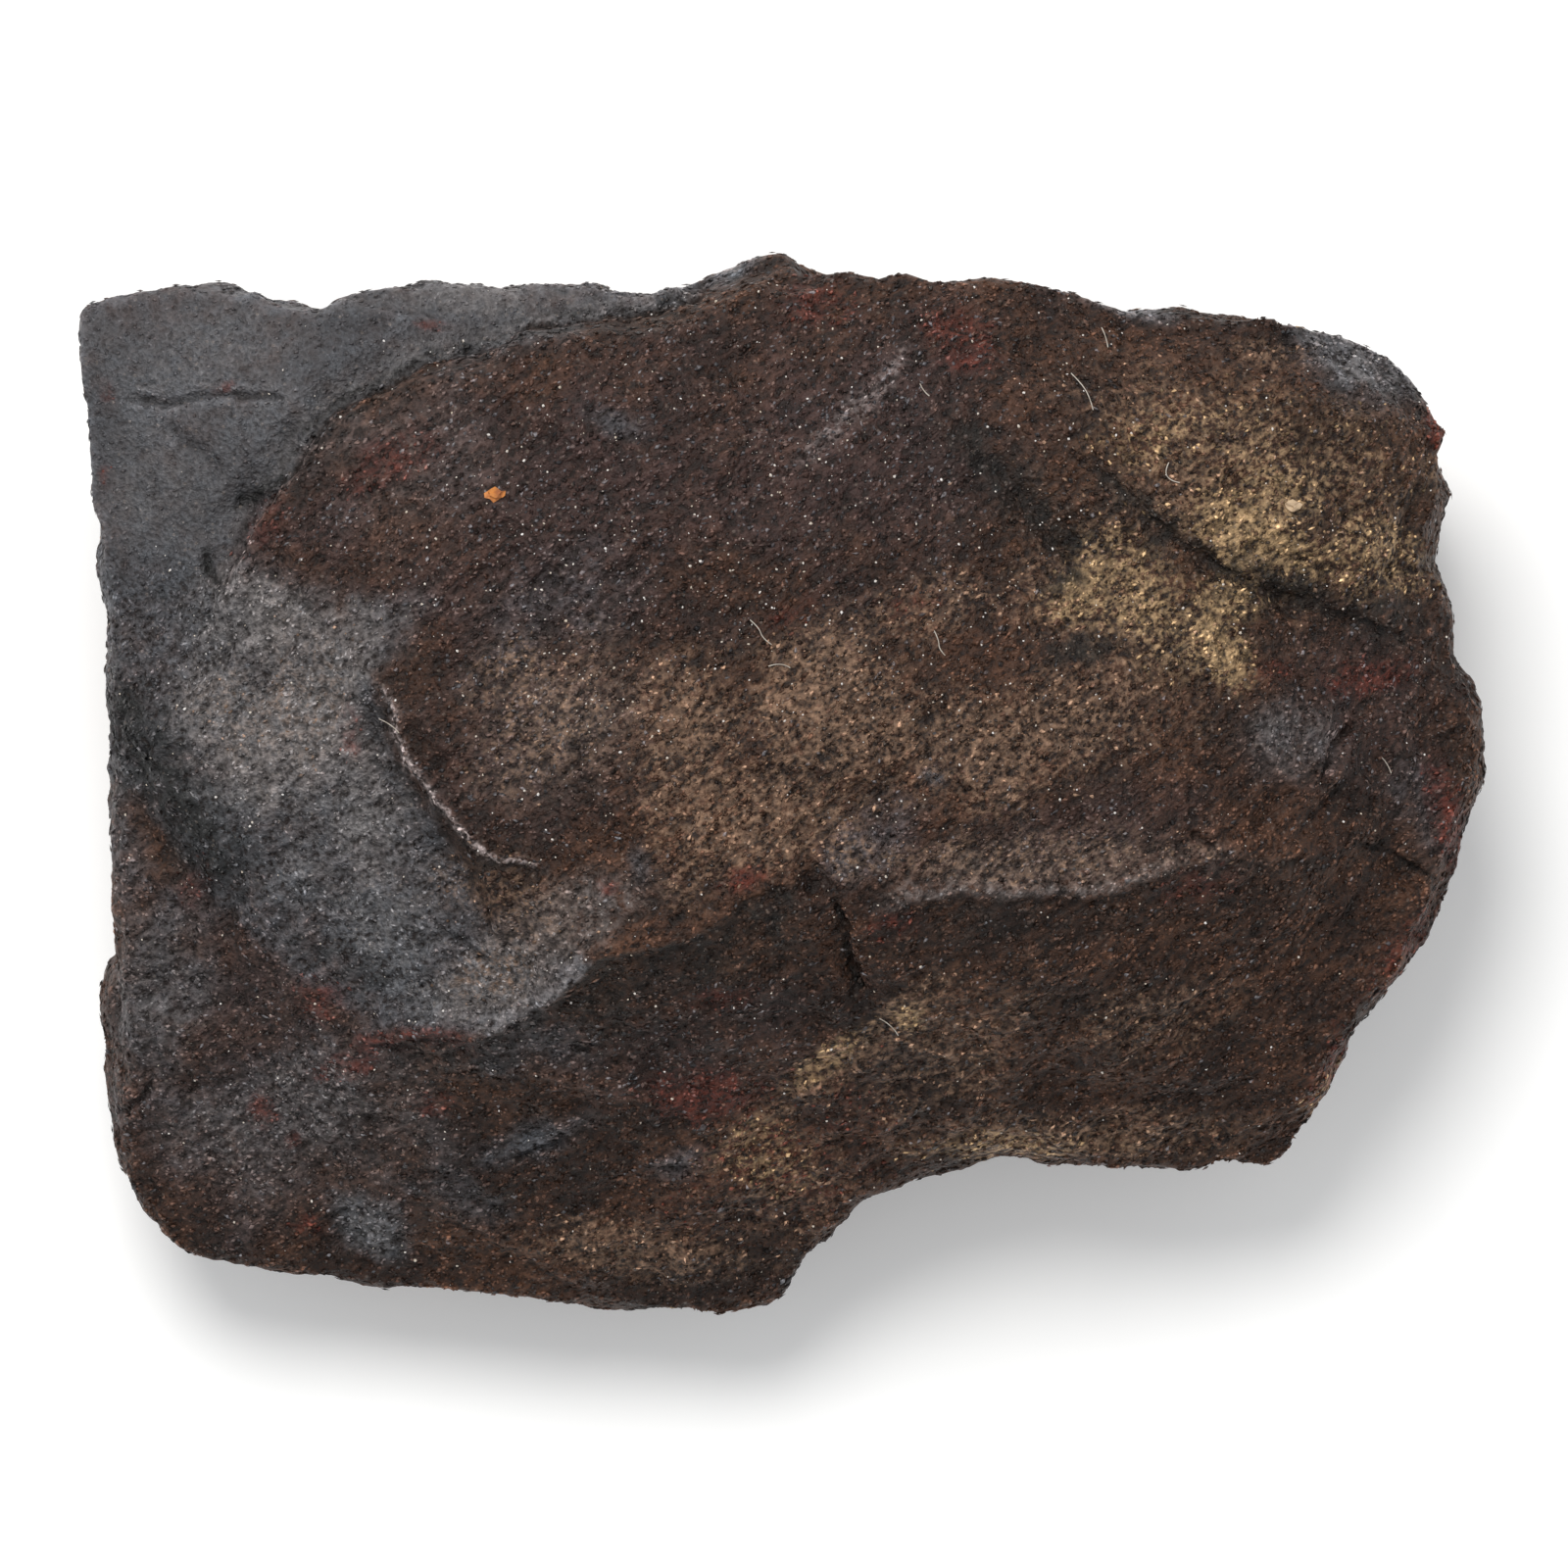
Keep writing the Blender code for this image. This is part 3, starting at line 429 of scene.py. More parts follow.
        ((-32.0, -23.0), (8.0, 5.0), 10, 0.22),
        ((-40.5, -14.0), (3.6, 6.0), 0, 0.25),
        ((37.0, 27.0), (4.0, 2.0), -24, 0.45),
        ((33.0, 3.0), (3.0, 2.6), 0, 0.25),
        ((-20.0, 31.6), (9.0, 1.6), -2, 0.5),
        ((-38.0, 27.0), (9.0, 5.0), 0, 0.2),
    ),
)

# Tints along the lines: widths in millimetres, and then strengths.
SEAMS = (
    Seam(Tint.PALE, VEIN, 0.17, 0.8),
    Seam(Tint.PALE, ((7.8, 28.2), (6.5, 26.0), (4.2, 24.0), (3.0, 22.5), (1.0, 21.0)), 0.6, 0.36),
    # Near-black along grooves and cracks: dark mineral, with painted shade in the cracks.
    Seam(Tint.DARK_AND_PAINTED_SHADE, DARK_SEAM, 1.6, 0.85),
    Seam(Tint.DARK_AND_PAINTED_SHADE, HUMP_FOOT, 0.9, 0.75),
    Seam(Tint.DARK_AND_PAINTED_SHADE, NOTCH, 0.3, 1.0),
    Seam(Tint.DARK_AND_PAINTED_SHADE, GAPE, 0.45, 0.8),
    Seam(Tint.DARK_AND_PAINTED_SHADE, TIP, 0.4, 0.9),
    Seam(Tint.DARK_AND_PAINTED_SHADE, LIP, 0.35, 0.9),
    Seam(Tint.DARK_AND_PAINTED_SHADE, FACE_GROOVE[:3], 0.3, 0.35),
    # Painted shadow at the foot of the slab's edge and on the shelf beside it.
    Seam(Tint.DARK_AND_PAINTED_SHADE, SLAB_FOOT, 0.2, 0.7),
    Seam(Tint.DARK_AND_PAINTED_SHADE, SLAB_EDGE, 1.6, 0.35, -1),
    # Grey on the slab with painted light along its rim, and a thin painted highlight on the face of its step.
    Seam(Tint.STEEL, SLAB_EDGE, 1.4, 0.9, 1),
    Seam(Tint.ASH_AND_PAINTED_LIGHT, SLAB_EDGE, 1.8, 0.4, 1),
    Seam(Tint.PALE, SLAB_EDGE[:7], 0.25, 0.3, -1),
    # Painted shade on the front face below the front ridge, grey with painted light above it, and a rust
    # line.
    Seam(Tint.DARK_AND_PAINTED_SHADE, FRONT_CREST, 3.0, 0.45, -1),
    Seam(Tint.DARK_AND_PAINTED_SHADE, FRONT_CREST[5:], 4.5, 0.6, -1),
    Seam(Tint.STEEL, FRONT_CREST[3:9], 2.4, 0.8, 1),
    Seam(Tint.ASH_AND_PAINTED_LIGHT, FRONT_CREST[3:9], 1.6, 0.4, 1),
    Seam(Tint.RUST, FRONT_CREST[:4], 0.6, 0.6),
    # Painted shade below the east ridge and painted light above it.
    Seam(Tint.DARK_AND_PAINTED_SHADE, EAST_CREST, 2.6, 0.35, -1),
    Seam(Tint.ASH_AND_PAINTED_LIGHT, EAST_CREST[:10], 1.6, 0.34, 1),
    # Painted shade beside the step of the vein.
    Seam(Tint.DARK_AND_PAINTED_SHADE, VEIN, 1.4, 0.3, -1),
    # Painted shade in the trough, and painted shadow below the step at the foot of the hump.
    Seam(Tint.DARK_AND_PAINTED_SHADE, TROUGH[:5], 2.0, 0.92),
    Seam(Tint.DARK_AND_PAINTED_SHADE, HUMP_FOOT[:6], 1.7, 0.6, -1),
)

# The roughness of the skin, from the broadest layer to the finest.
LAYERS = (
    Layer("lumps", "CLOUDS", 5.0, 0.5),
    Layer("chips", "VORONOI", 2.8, 0.42),
    Layer("ledges", "CLOUDS", 1.4, 0.6, streaked=True),
    Layer("knobs", "VORONOI", 0.95, -0.24),
    Layer("grain", "CLOUDS", 0.7, 0.3),
)

# The tints from the lowest to the one that lies over all others.
LOOKS = {
    Tint.PLUM: TintLook((0.060, 0.033, 0.030), 0.8, 0.35),
    Tint.STEEL: TintLook((0.122, 0.132, 0.149), 0.85, 0.3),
    Tint.ASH_AND_PAINTED_LIGHT: TintLook((0.275, 0.254, 0.250), 0.8, 0.4, fine=True),
    Tint.TAN: TintLook((0.285, 0.172, 0.110), 0.9, 0.9, fine=True),
    Tint.OCHRE: TintLook((0.490, 0.325, 0.170), 0.95, 0.95, fine=True),
    Tint.RUST: TintLook((0.135, 0.028, 0.016), 0.85, 0.7),
    Tint.DARK_AND_PAINTED_SHADE: TintLook((0.011, 0.0115, 0.010), 0.85, 0.7),
    Tint.PALE: TintLook((0.42, 0.35, 0.34), 0.9, 0.7, fine=True),
}

HIDDEN_TINTS = {
    Tint.STEEL: HiddenTint(14.0, 61, 0.0, 0.7),
    Tint.TAN: HiddenTint(12.0, 62, 0.14, 0.3),
    Tint.OCHRE: HiddenTint(13.0, 63, 0.34, 0.4),
    Tint.RUST: HiddenTint(9.0, 64, 0.24, 0.5),
    Tint.DARK_AND_PAINTED_SHADE: HiddenTint(8.0, 65, 0.1, 0.6),
    Tint.PLUM: HiddenTint(16.0, 66, -0.3, 0.9),
}

# Headings that the grains follow near some places, in degrees.
GRAIN_RUNS = (
    ((-40.0, 27.0), -20.0),
    ((-40.0, 12.0), 60.0),
    ((-30.0, 6.0), 35.0),
    ((-34.0, -6.0), -38.0),
    ((-22.0, -12.0), -20.0),
    ((-36.0, -18.0), 8.0),
    ((-18.0, -26.0), 30.0),
    ((-24.0, 22.0), 45.0),
    ((-12.0, 14.0), 20.0),
    ((4.0, 24.0), 50.0),
    ((2.0, 4.0), 40.0),
    ((22.0, 8.0), 48.0),
    ((34.0, 20.0), 35.0),
    ((22.0, 22.0), -35.0),
    ((20.0, -3.0), 20.0),
    ((8.0, -18.0), 42.0),
    ((30.0, -12.0), 30.0),
    ((0.0, -26.0), 45.0),
)

FIBRES = (
    Fibre(((18.6, 26.6), (19.3, 25.9), (19.8, 25.0), (20.0, 24.2))),
    Fibre(((20.6, 29.6), (20.9, 29.0), (21.0, 28.3))),
    Fibre(((8.8, 25.9), (9.0, 25.4), (9.4, 25.1))),
    Fibre(((9.7, 9.9), (10.0, 9.3), (10.0, 8.7), (10.4, 8.3))),
    Fibre(((38.9, 1.7), (39.3, 1.3), (39.5, 0.7))),
    Fibre(((24.9, 20.8), (24.6, 20.2), (25.0, 19.6), (25.6, 19.5))),
    Fibre(((-2.2, 10.6), (-1.6, 10.1), (-1.4, 9.4), (-0.8, 9.0))),
    Fibre(((-1.0, 7.6), (-0.2, 7.9), (0.4, 7.5))),
    Fibre(((-26.2, 4.2), (-25.4, 3.9), (-24.9, 3.3))),
    Fibre(((6.2, -15.2), (7.0, -15.6), (7.4, -16.3))),
)


def ramp(values: np.ndarray, low: float, high: float) -> np.ndarray:
    """Return 0 below low, 1 above high, and an even S-shaped rise between them."""
    t = np.clip((values - low) / (high - low), 0.0, 1.0)
    return t * t * (3.0 - 2.0 * t)


def noise_field(points: np.ndarray, size: float, seed: int, octaves: int = 1) -> np.ndarray:
    """Smooth noise at many points.

    Args:
        points: Places in millimetres, one row each.
        size: The size of the largest features, in millimetres.
        seed: Which field of noise to use.
        octaves: How many ever finer layers are added up.

    Returns:
        A value from about -1 to 1 for each point.
    """
    shift = Vector((seed * 13.7, seed * 7.9, seed * 3.1))
    total = np.zeros(len(points))
    for octave in range(octaves):
        fine = 2.0**octave
        layer = [noise.noise(Vector(p) * (fine / size) + shift * fine) for p in points]
        total += np.array(layer) / fine
    return total


def distance_to_line(flat: np.ndarray, line: Sequence[Place]) -> tuple[np.ndarray, np.ndarray, np.ndarray]:
    """How places lie about a line of segments, seen from above.

    Args:
        flat: Places in millimetres, two columns.
        line: The corners of the line.

    Returns:
        Each place's distance from the line, 1 or -1 as it lies to the left or the right of it, and how far
        along the line, from 0 to 1, the nearest point is.
    """
    corners = np.array(line)
    best = np.full(len(flat), np.inf)
    side = np.ones(len(flat))
    share = np.zeros(len(flat))
    for step, (start, end) in enumerate(zip(corners[:-1], corners[1:])):
        run = end - start
        offset = flat - start
        along = np.clip(offset @ run / (run @ run), 0.0, 1.0)
        gap = np.linalg.norm(offset - along[:, None] * run, axis=1)
        nearer = gap < best
        best[nearer] = gap[nearer]
        side[nearer] = np.where(run[0] * offset[:, 1] - run[1] * offset[:, 0] >= 0, 1.0, -1.0)[nearer]
        share[nearer] = (step + along[nearer]) / (len(corners) - 1)
    return best, side, share


def deselect_all() -> None:
    """Deselect every object."""
    bpy.ops.object.select_all(action="DESELECT")


def select_only(obj: bpy.types.Object) -> None:
    """Make one object the only selected and active one."""
    deselect_all()
    obj.select_set(True)
    bpy.context.view_layer.objects.active = obj


def apply_modifier(obj: bpy.types.Object, modifier: bpy.types.Modifier) -> None:
    """Apply one modifier to its object's mesh."""
    select_only(obj)
    bpy.ops.object.modifier_apply(modifier=modifier.name)


def read_points(mesh: bpy.types.Mesh) -> np.ndarray:
    """Return the mesh's points in millimetres."""
    points = np.empty(len(mesh.vertices) * 3)
    mesh.vertices.foreach_get("co", points)
    return points.reshape(-1, 3) / MM


def read_normals(mesh: bpy.types.Mesh) -> np.ndarray:
    """Return the mesh's point normals."""
    normals = np.empty(len(mesh.vertices) * 3, np.float32)
    mesh.vertex_normals.foreach_get("vector", normals)
    return normals.reshape(-1, 3)


def read_values(mesh: bpy.types.Mesh, name: str) -> np.ndarray:
    """Return an attribute's value at each point."""
    values = np.empty(len(mesh.vertices), np.float32)
    mesh.attributes[name].data.foreach_get("value", values)
    return values


def store_values(mesh: bpy.types.Mesh, name: str, values: np.ndarray) -> None:
    """Keep one value from 0 to 1 for each point as an attribute."""
    attribute = mesh.attributes.new(name, "FLOAT", "POINT")
    attribute.data.foreach_set("value", np.clip(values, 0.0, 1.0).astype(np.float32))


def write_points(mesh: bpy.types.Mesh, points: np.ndarray) -> None:
    """Move the mesh's points to places given in millimetres."""
    mesh.vertices.foreach_set("co", (points * MM).ravel())
    mesh.update()


def neighbour_mean(mesh: bpy.types.Mesh, values: np.ndarray, rounds: int) -> np.ndarray:
    """Average values with their neighbours' on a mesh, over and over.

    Args:
        mesh: The mesh whose edges say which points are neighbours.
        values: One row for each point.
        rounds: How many times to average.

    Returns:
        The smoothed values.
    """
    edges = np.empty(len(mesh.edges) * 2, np.int32)
    mesh.edges.foreach_get("vertices", edges)
    start, end = edges.reshape(-1, 2).T
    size = len(values)
    count = np.bincount(edges, minlength=size).astype(float)
    result = values.astype(float).reshape(size, -1)
    for _ in range(rounds):
        columns = []
        for column in result.T:
            total = np.bincount(start, column[end], size) + np.bincount(end, column[start], size)
            columns.append(0.5 * column + 0.5 * total / count)
        result = np.array(columns).T
    return result.reshape(values.shape)


def take_shape(obj: bpy.types.Object) -> tuple[np.ndarray, list[tuple[int, ...]]]:
    """Read a small modelled shape and remove its object.

    Args:
        obj: The object that holds the shape.

    Returns:
        Its points and its faces.
    """
    points = np.array([vertex.co for vertex in obj.data.vertices])
    faces = [tuple(face.vertices) for face in obj.data.polygons]
    bpy.data.objects.remove(obj, do_unlink=True)
    return points, faces


def add_piece(name: str, mesh: bpy.types.Mesh) -> bpy.types.Object:
    """Put a finished mesh in the scene as a piece that rides on the stone.

    Args:
        name: The piece's name.
        mesh: Its mesh.

    Returns:
        The piece.
    """
    piece = bpy.data.objects.new(name, mesh)
    bpy.context.scene.collection.objects.link(piece)
    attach(piece, BODY)
    return piece


@dataclass
class NodeSheet:
    """A short way to place and join nodes in one node tree."""

    tree: bpy.types.NodeTree
    count: int = 0
    per_row: int = 14

    def place(self, kind: str) -> bpy.types.Node:
        """Put a new node down in the sheet's next free place.

        Args:
            kind: The node's full type.

        Returns:
            The node.
        """
        node = self.tree.nodes.new(kind)
        self.count += 1
        node.location = (200 * (self.count % self.per_row), -260 * (self.count // self.per_row))
        return node

    def feed(self, socket: bpy.types.NodeSocket, value: object) -> None:
        """Join an output to an input, or give the input a value of its own.

        Args:
            socket: The input.
            value: The output that feeds it, or its value.
        """
        if isinstance(value, bpy.types.NodeSocket):
            self.tree.links.new(value, socket)
        else:
            socket.default_value = value

    def add(self, kind: str, settings: dict | None = None, **inputs: object) -> bpy.types.Node:
        """Place a node, with its settings, and fill or join its inputs.

        Args:
            kind: The node's type, without the leading ShaderNode.
            settings: Values of the node's own properties.
            **inputs: For each input, by its name in lower case with low lines for spaces, a value or the
                output socket that feeds it.

        Returns:
            The node.
        """
        node = self.place("ShaderNode" + kind)
        for name, value in (settings or {}).items():
            setattr(node, name, value)
        for name, value in inputs.items():
            self.feed(self.find(node, name), value)
        return node

    @staticmethod
    def find(node: bpy.types.Node, name: str) -> bpy.types.NodeSocket:
        """Find one of a node's inputs.

        Args:
            node: The node.
            name: The input's name in lower case with low lines for spaces, or i and its place, such as i0.

        Returns:
            The input, which is enabled if it was found by name.
        """
        if name[0] == "i" and name[1:].isdigit():
            return node.inputs[int(name[1:])]
        wanted = name.replace("_", " ").lower()
        return next(s for s in node.inputs if s.enabled and s.name.lower() == wanted)

    def maths(
        self, operation: str, first: object, second: object, clamp: bool = False
    ) -> bpy.types.NodeSocket:
        """Join two values by a Math node and return its output."""
        settings = {"operation": operation, "use_clamp": clamp}
        return self.add("Math", settings, i0=first, i1=second).outputs[0]

    def product(self, *factors: object) -> bpy.types.NodeSocket:
        """Multiply values, from the last one back.

        Args:
            *factors: Values or output sockets.

        Returns:
            The product.
        """
        result = factors[-1]
        for factor in reversed(factors[:-1]):
            result = self.maths("MULTIPLY", factor, result)
        return result

    def blend(self, share: object, under: object, over: object, mode: str = "MIX") -> bpy.types.NodeSocket:
        """Lay one colour over another.

        Args:
            share: How much of the upper colour shows.
            under: The lower colour.
            over: The upper colour.
            mode: How the two are blended.

        Returns:
            The blended colour.
        """
        settings = {"data_type": "RGBA", "blend_type": mode}
        node = self.add("Mix", settings, i0=share)
        for index, colour in ((6, under), (7, over)):
            self.feed(node.inputs[index], (*colour, 1.0) if isinstance(colour, tuple) else colour)
        return node.outputs[2]

    def spread(self, value: object, low: float, high: float, smooth: bool = True) -> bpy.types.NodeSocket:
        """Stretch the values from low to high over 0 to 1 and return the result."""
        settings = {"interpolation_type": "SMOOTHSTEP" if smooth else "LINEAR"}
        return self.add("MapRange", settings, value=value, from_min=low, from_max=high).outputs[0]

    def between(
        self, value: object, start: float, end: float, low: float = 0.0, high: float = 1.0
    ) -> bpy.types.NodeSocket:
        """Turn the values from low to high evenly into those from start to end and return the result."""
        ends = {"from_min": low, "from_max": high, "to_min": start, "to_max": end}
        return self.add("MapRange", value=value, **ends).outputs[0]

    def attribute(self, name: str) -> bpy.types.NodeSocket:
        """Read one of the mesh's own values."""
        return self.add("Attribute", {"attribute_name": name}).outputs["Fac"]

    def noise(
        self, place: object, scale: object, detail: float, roughness: float = 0.5
    ) -> bpy.types.NodeSocket:
        """Add noise of a scale and return its value."""
        return self.add("TexNoise", vector=place, scale=scale, detail=detail, roughness=roughness).outputs[0]


def open_material(name: str) -> tuple[bpy.types.Material, NodeSheet]:
    """Start an empty material.

    Args:
        name: The material's name.

    Returns:
        The material and the sheet of its nodes.
    """
    material = bpy.data.materials.new(name)
    material.use_nodes = True
    material.node_tree.nodes.clear()
    return material, NodeSheet(material.node_tree)


def open_group(name: str, inputs: dict[str, str], outputs: Sequence[str]) -> tuple[NodeSheet, dict]:
    """Start a node group.

    Args:
        name: The group's name.
        inputs: The kind of socket of each input, by its name.
        outputs: The names of its outputs, which are all single values.

    Returns:
        The sheet of its nodes, and its inputs as sockets by name.
    """
    tree = bpy.data.node_groups.new(name, "ShaderNodeTree")
    for socket, kind in inputs.items():
        tree.interface.new_socket(socket, in_out="INPUT", socket_type="NodeSocket" + kind)
    for socket in outputs:
        tree.interface.new_socket(socket, in_out="OUTPUT", socket_type="NodeSocketFloat")
    sheet = NodeSheet(tree)
    given = sheet.place("NodeGroupInput").outputs
    return sheet, {socket: given[socket] for socket in inputs}


def close_group(sheet: NodeSheet, results: dict[str, bpy.types.NodeSocket]) -> bpy.types.NodeTree:
    """Finish a node group.

    Args:
        sheet: The sheet of its nodes.
        results: What feeds each output, by the output's name.

    Returns:
        The group.
    """
    end = sheet.place("NodeGroupOutput")
    for name, value in results.items():
        sheet.feed(end.inputs[name], value)
    return sheet.tree


@dataclass(frozen=True)
class ShaderGroups:
    """The node groups that the material of the ore uses."""

    run_angle: float = 38.0
    run_length: float = 2.8
    fine_step: float = 1.3
    streak_step: float = 0.75
    noise_detail: float = 3.0
    grain_range: Span = (0.35, 0.65)
    glint_spot_chance: Span = (0.86, 0.94)
    glint_spot_reach: Span = (0.42, 0.2)
    gap_shade_reach: Span = (0.4, 0.7)
    gap_shade_grain: Span = (0.6, 0.15)
    lump_height: float = 0.45
    grain_height: float = 0.75
    push: float = 4.0
    gate: Span = (0.02, 0.3)

    def grain(self) -> bpy.types.NodeTree:
        """Build the group that gives the ore its grain.

        Returns:
            A group with Vector, Grain Size in millimetres and Streak as inputs. Its outputs are Grain, the
            light and dark of the grains, Glint Spot, a mask of single bright grains for light flecks that are
            partly painted glints, Gap Shade, a mask of the gaps between grains for painted shade there, and
            Height.
        """
        inputs = {"Vector": "Vector", "Grain Size": "Float", "Streak": "Float"}
        sheet, given = open_group("ore_grain", inputs, ("Grain", "Fleck", "Pit", "Height"))
        scale = sheet.maths("DIVIDE", 1.0 / MM, given["Grain Size"])
        turned = sheet.add(
            "Mapping",
            {"vector_type": "TEXTURE"},
            vector=given["Vector"],
            rotation=(0.0, 0.0, math.radians(self.run_angle)),
            scale=(self.run_length, 1.0, 1.0),
        ).outputs[0]
        cells = sheet.add("TexVoronoi", vector=given["Vector"], scale=scale, randomness=1.0)
        away = cells.outputs["Distance"]
        fine = sheet.noise(given["Vector"], sheet.product(scale, self.fine_step), self.noise_detail)
        streaks = sheet.noise(turned, sheet.product(scale, self.streak_step), self.noise_detail)
        mixed = sheet.add("Mix", {"data_type": "FLOAT"}, i0=given["Streak"], i2=fine, i3=streaks).outputs[0]
        grain = sheet.spread(mixed, *self.grain_range, smooth=False)
        chance = sheet.add("SeparateColor", color=cells.outputs["Color"]).outputs[0]
        # Single bright grains: light flecks, partly painted glints.
        fleck = sheet.product(sheet.spread(chance, *self.glint_spot_chance), sheet.spread(away, *self.glint_spot_reach))
        pit = sheet.product(sheet.spread(away, *self.gap_shade_reach), sheet.spread(grain, *self.gap_shade_grain))
        lump = sheet.product(sheet.maths("SUBTRACT", 1.0, away), self.lump_height)
        height = sheet.maths("ADD", lump, sheet.product(grain, self.grain_height))
        return close_group(sheet, {"Grain": grain, "Fleck": fleck, "Pit": pit, "Height": height})

    def broken_mask(self) -> bpy.types.NodeTree:
        """Build the group that breaks a soft mask into grains.

        Returns:
            A group with Mask, Speckle and Break as inputs, and Mask as its output.
        """
        inputs = {"Mask": "Float", "Speckle": "Float", "Break": "Float"}
        sheet, given = open_group("broken_mask", inputs, ("Mask",))
        centred = sheet.maths("SUBTRACT", given["Speckle"], 0.5)
        pushed = sheet.product(centred, given["Break"], self.push)
        gate = sheet.spread(given["Mask"], *self.gate)
        broken = sheet.maths("ADD", given["Mask"], sheet.product(pushed, gate), clamp=True)
        return close_group(sheet, {"Mask": broken})


@dataclass(frozen=True)
class OreFinish:
    """Fresh and weathered breaks of fine-grained hematite: dull brown, and metallic grey where smooth."""

    groups: ShaderGroups
    dark: Colour = (0.0245, 0.0095, 0.0048)
    light: Colour = (0.083, 0.036, 0.0190)
    pit: Colour = (0.0110, 0.0060, 0.0045)
    painted_sheen: Colour = (0.190, 0.172, 0.170)
    # The colour of light flecks, which are partly painted glints.
    fleck: Colour = (0.30, 0.24, 0.20)
    grain_size: float = 0.36
    patch_scale: float = 170.0
    patch_range: Span = (0.34, 0.68)
    wide_scale: float = 900.0
    fine_scale: float = 2000.0
    noise_roughness: float = 0.6
    streak: float = 0.6
    swing: Span = (0.3, 1.0)
    swing_range: Span = (0.35, 0.9)
    contrast: float = 1.3
    middle_shade: float = 1.05
    brightness: float = 2.25
    painted_shade_factor: float = 0.4
    painted_light_factor: float = 1.6
    painted_sheen_range: Span = (1.0, 2.4)
    painted_sheen_cover: Span = (0.12, 0.42)
    gap_shade_cover: Span = (0.9, 0.4)
    glint_spot_cover: float = 0.2
    roughness: Span = (0.6, 0.46)
    fleck_polish: float = 0.25
    gloss_polish: float = 0.2
    metal: float = 0.3
    specular: float = 0.28
    coat_roughness: float = 0.22
    coat_range: Span = (0.5, 0.62)
    wide_height: float = 0.9
    smooth_height: float = 0.4
    bump_depth: float = 0.22

    def mask(self, sheet: NodeSheet, tint: Tint, speckle: bpy.types.NodeSocket) -> bpy.types.NodeSocket:
        """Read one tint's attribute and break it into grains.

        Args:
            sheet: The material's node sheet.
            tint: Which tint to read.
            speckle: The noise that breaks it up.

        Returns:
            The tint's mask.
        """
        tree = bpy.data.node_groups.get("broken_mask") or self.groups.broken_mask()
        soft = sheet.attribute(tint.value)
        break_up = LOOKS[tint].break_up
        node = sheet.add("Group", {"node_tree": tree}, i0=soft, i1=speckle, i2=break_up)
        return node.outputs["Mask"]

    def shade(
        self, sheet: NodeSheet, grain: bpy.types.NodeSocket, swing: bpy.types.NodeSocket
    ) -> bpy.types.NodeSocket:
        """Work out how light each place is, with painted shade in hollows and painted highlights on crests.

        Args:
            sheet: The material's node sheet.
            grain: The light and dark of the grains.
            swing: How far the grains differ.

        Returns:
            The factor for the colour.
        """
        shade = sheet.product(sheet.maths("SUBTRACT", grain, 0.5), swing, self.contrast)
        shade = sheet.maths("ADD", shade, self.middle_shade)
        shade = sheet.product(shade, sheet.attribute("shade"), self.brightness)
        for name, most in (("painted_hollow_shade", self.painted_shade_factor), ("painted_crest_light", self.painted_light_factor)):
            shade = sheet.product(shade, sheet.between(sheet.attribute(name), 1.0, most))
        return shade

    def build(self) -> bpy.types.Material:
        """Make the ore's material.

        Returns:
            The material.
        """
        material, sheet = open_material("hematite_ore_finish")
        place = sheet.add("TexCoord").outputs["Object"]
        rough, gloss = sheet.attribute("rough"), sheet.attribute("gloss")
        streak = sheet.product(rough, self.streak)
        settings = {"node_tree": self.groups.grain()}
        grain = sheet.add("Group", settings, vector=place, grain_size=self.grain_size, streak=streak).outputs
        patches = sheet.noise(place, self.patch_scale, 5.0, self.noise_roughness)
        fine = sheet.noise(place, self.fine_scale, 3.0, self.noise_roughness)
        wide = sheet.noise(place, self.wide_scale, 4.0, self.noise_roughness)
        masks = {tint: self.mask(sheet, tint, fine if look.fine else wide) for tint, look in LOOKS.items()}

        base = sheet.blend(sheet.spread(patches, *self.patch_range), self.dark, self.light)
        for tint, look in LOOKS.items():
            base = sheet.blend(sheet.product(masks[tint], look.cover), base, look.colour)
        swing = sheet.between(rough, *self.swing, *self.swing_range)
        shade = self.shade(sheet, grain["Grain"], swing)
        grey = sheet.add("CombineColor", red=shade, green=shade, blue=shade).outputs[0]
        base = sheet.blend(1.0, base, grey, "MULTIPLY")
        # A painted sheen: the brightest grains on the plum ground turn grey.
        painted_sheen_share = sheet.between(masks[Tint.PLUM], *self.painted_sheen_cover)
        base = sheet.blend(sheet.product(sheet.spread(shade, *self.painted_sheen_range), painted_sheen_share), base, self.painted_sheen)
        # Painted shade in the gaps between grains, less on the light grey.
        gap_shading = sheet.product(grain["Pit"], swing, sheet.between(masks[Tint.ASH_AND_PAINTED_LIGHT], *self.gap_shade_cover))
        base = sheet.blend(gap_shading, base, self.pit)
        # Light flecks on single grains, partly painted glints.
        base = sheet.blend(sheet.product(grain["Fleck"], self.glint_spot_cover), base, self.fleck)

        dull = sheet.between(masks[Tint.STEEL], *self.roughness)
        dull = sheet.maths("SUBTRACT", dull, sheet.product(grain["Fleck"], self.fleck_polish))
        dull = sheet.maths("SUBTRACT", dull, sheet.product(gloss, self.gloss_polish), clamp=True)
        height = sheet.maths("ADD", grain["Height"], sheet.product(wide, self.wide_height))
        height = sheet.product(height, sheet.between(rough, self.smooth_height, 1.0))
        shader = sheet.add(
            "BsdfPrincipled",
            base_color=base,
            roughness=dull,
            metallic=sheet.product(masks[Tint.STEEL], self.metal),
            coat_weight=sheet.product(gloss, sheet.spread(fine, *self.coat_range)),
            normal=sheet.add("Bump", strength=1.0, distance=self.bump_depth * MM, height=height).outputs[0],
            specular_ior_level=self.specular,
            coat_roughness=self.coat_roughness,
        )
        sheet.add("OutputMaterial", surface=shader.outputs[0])
        return material


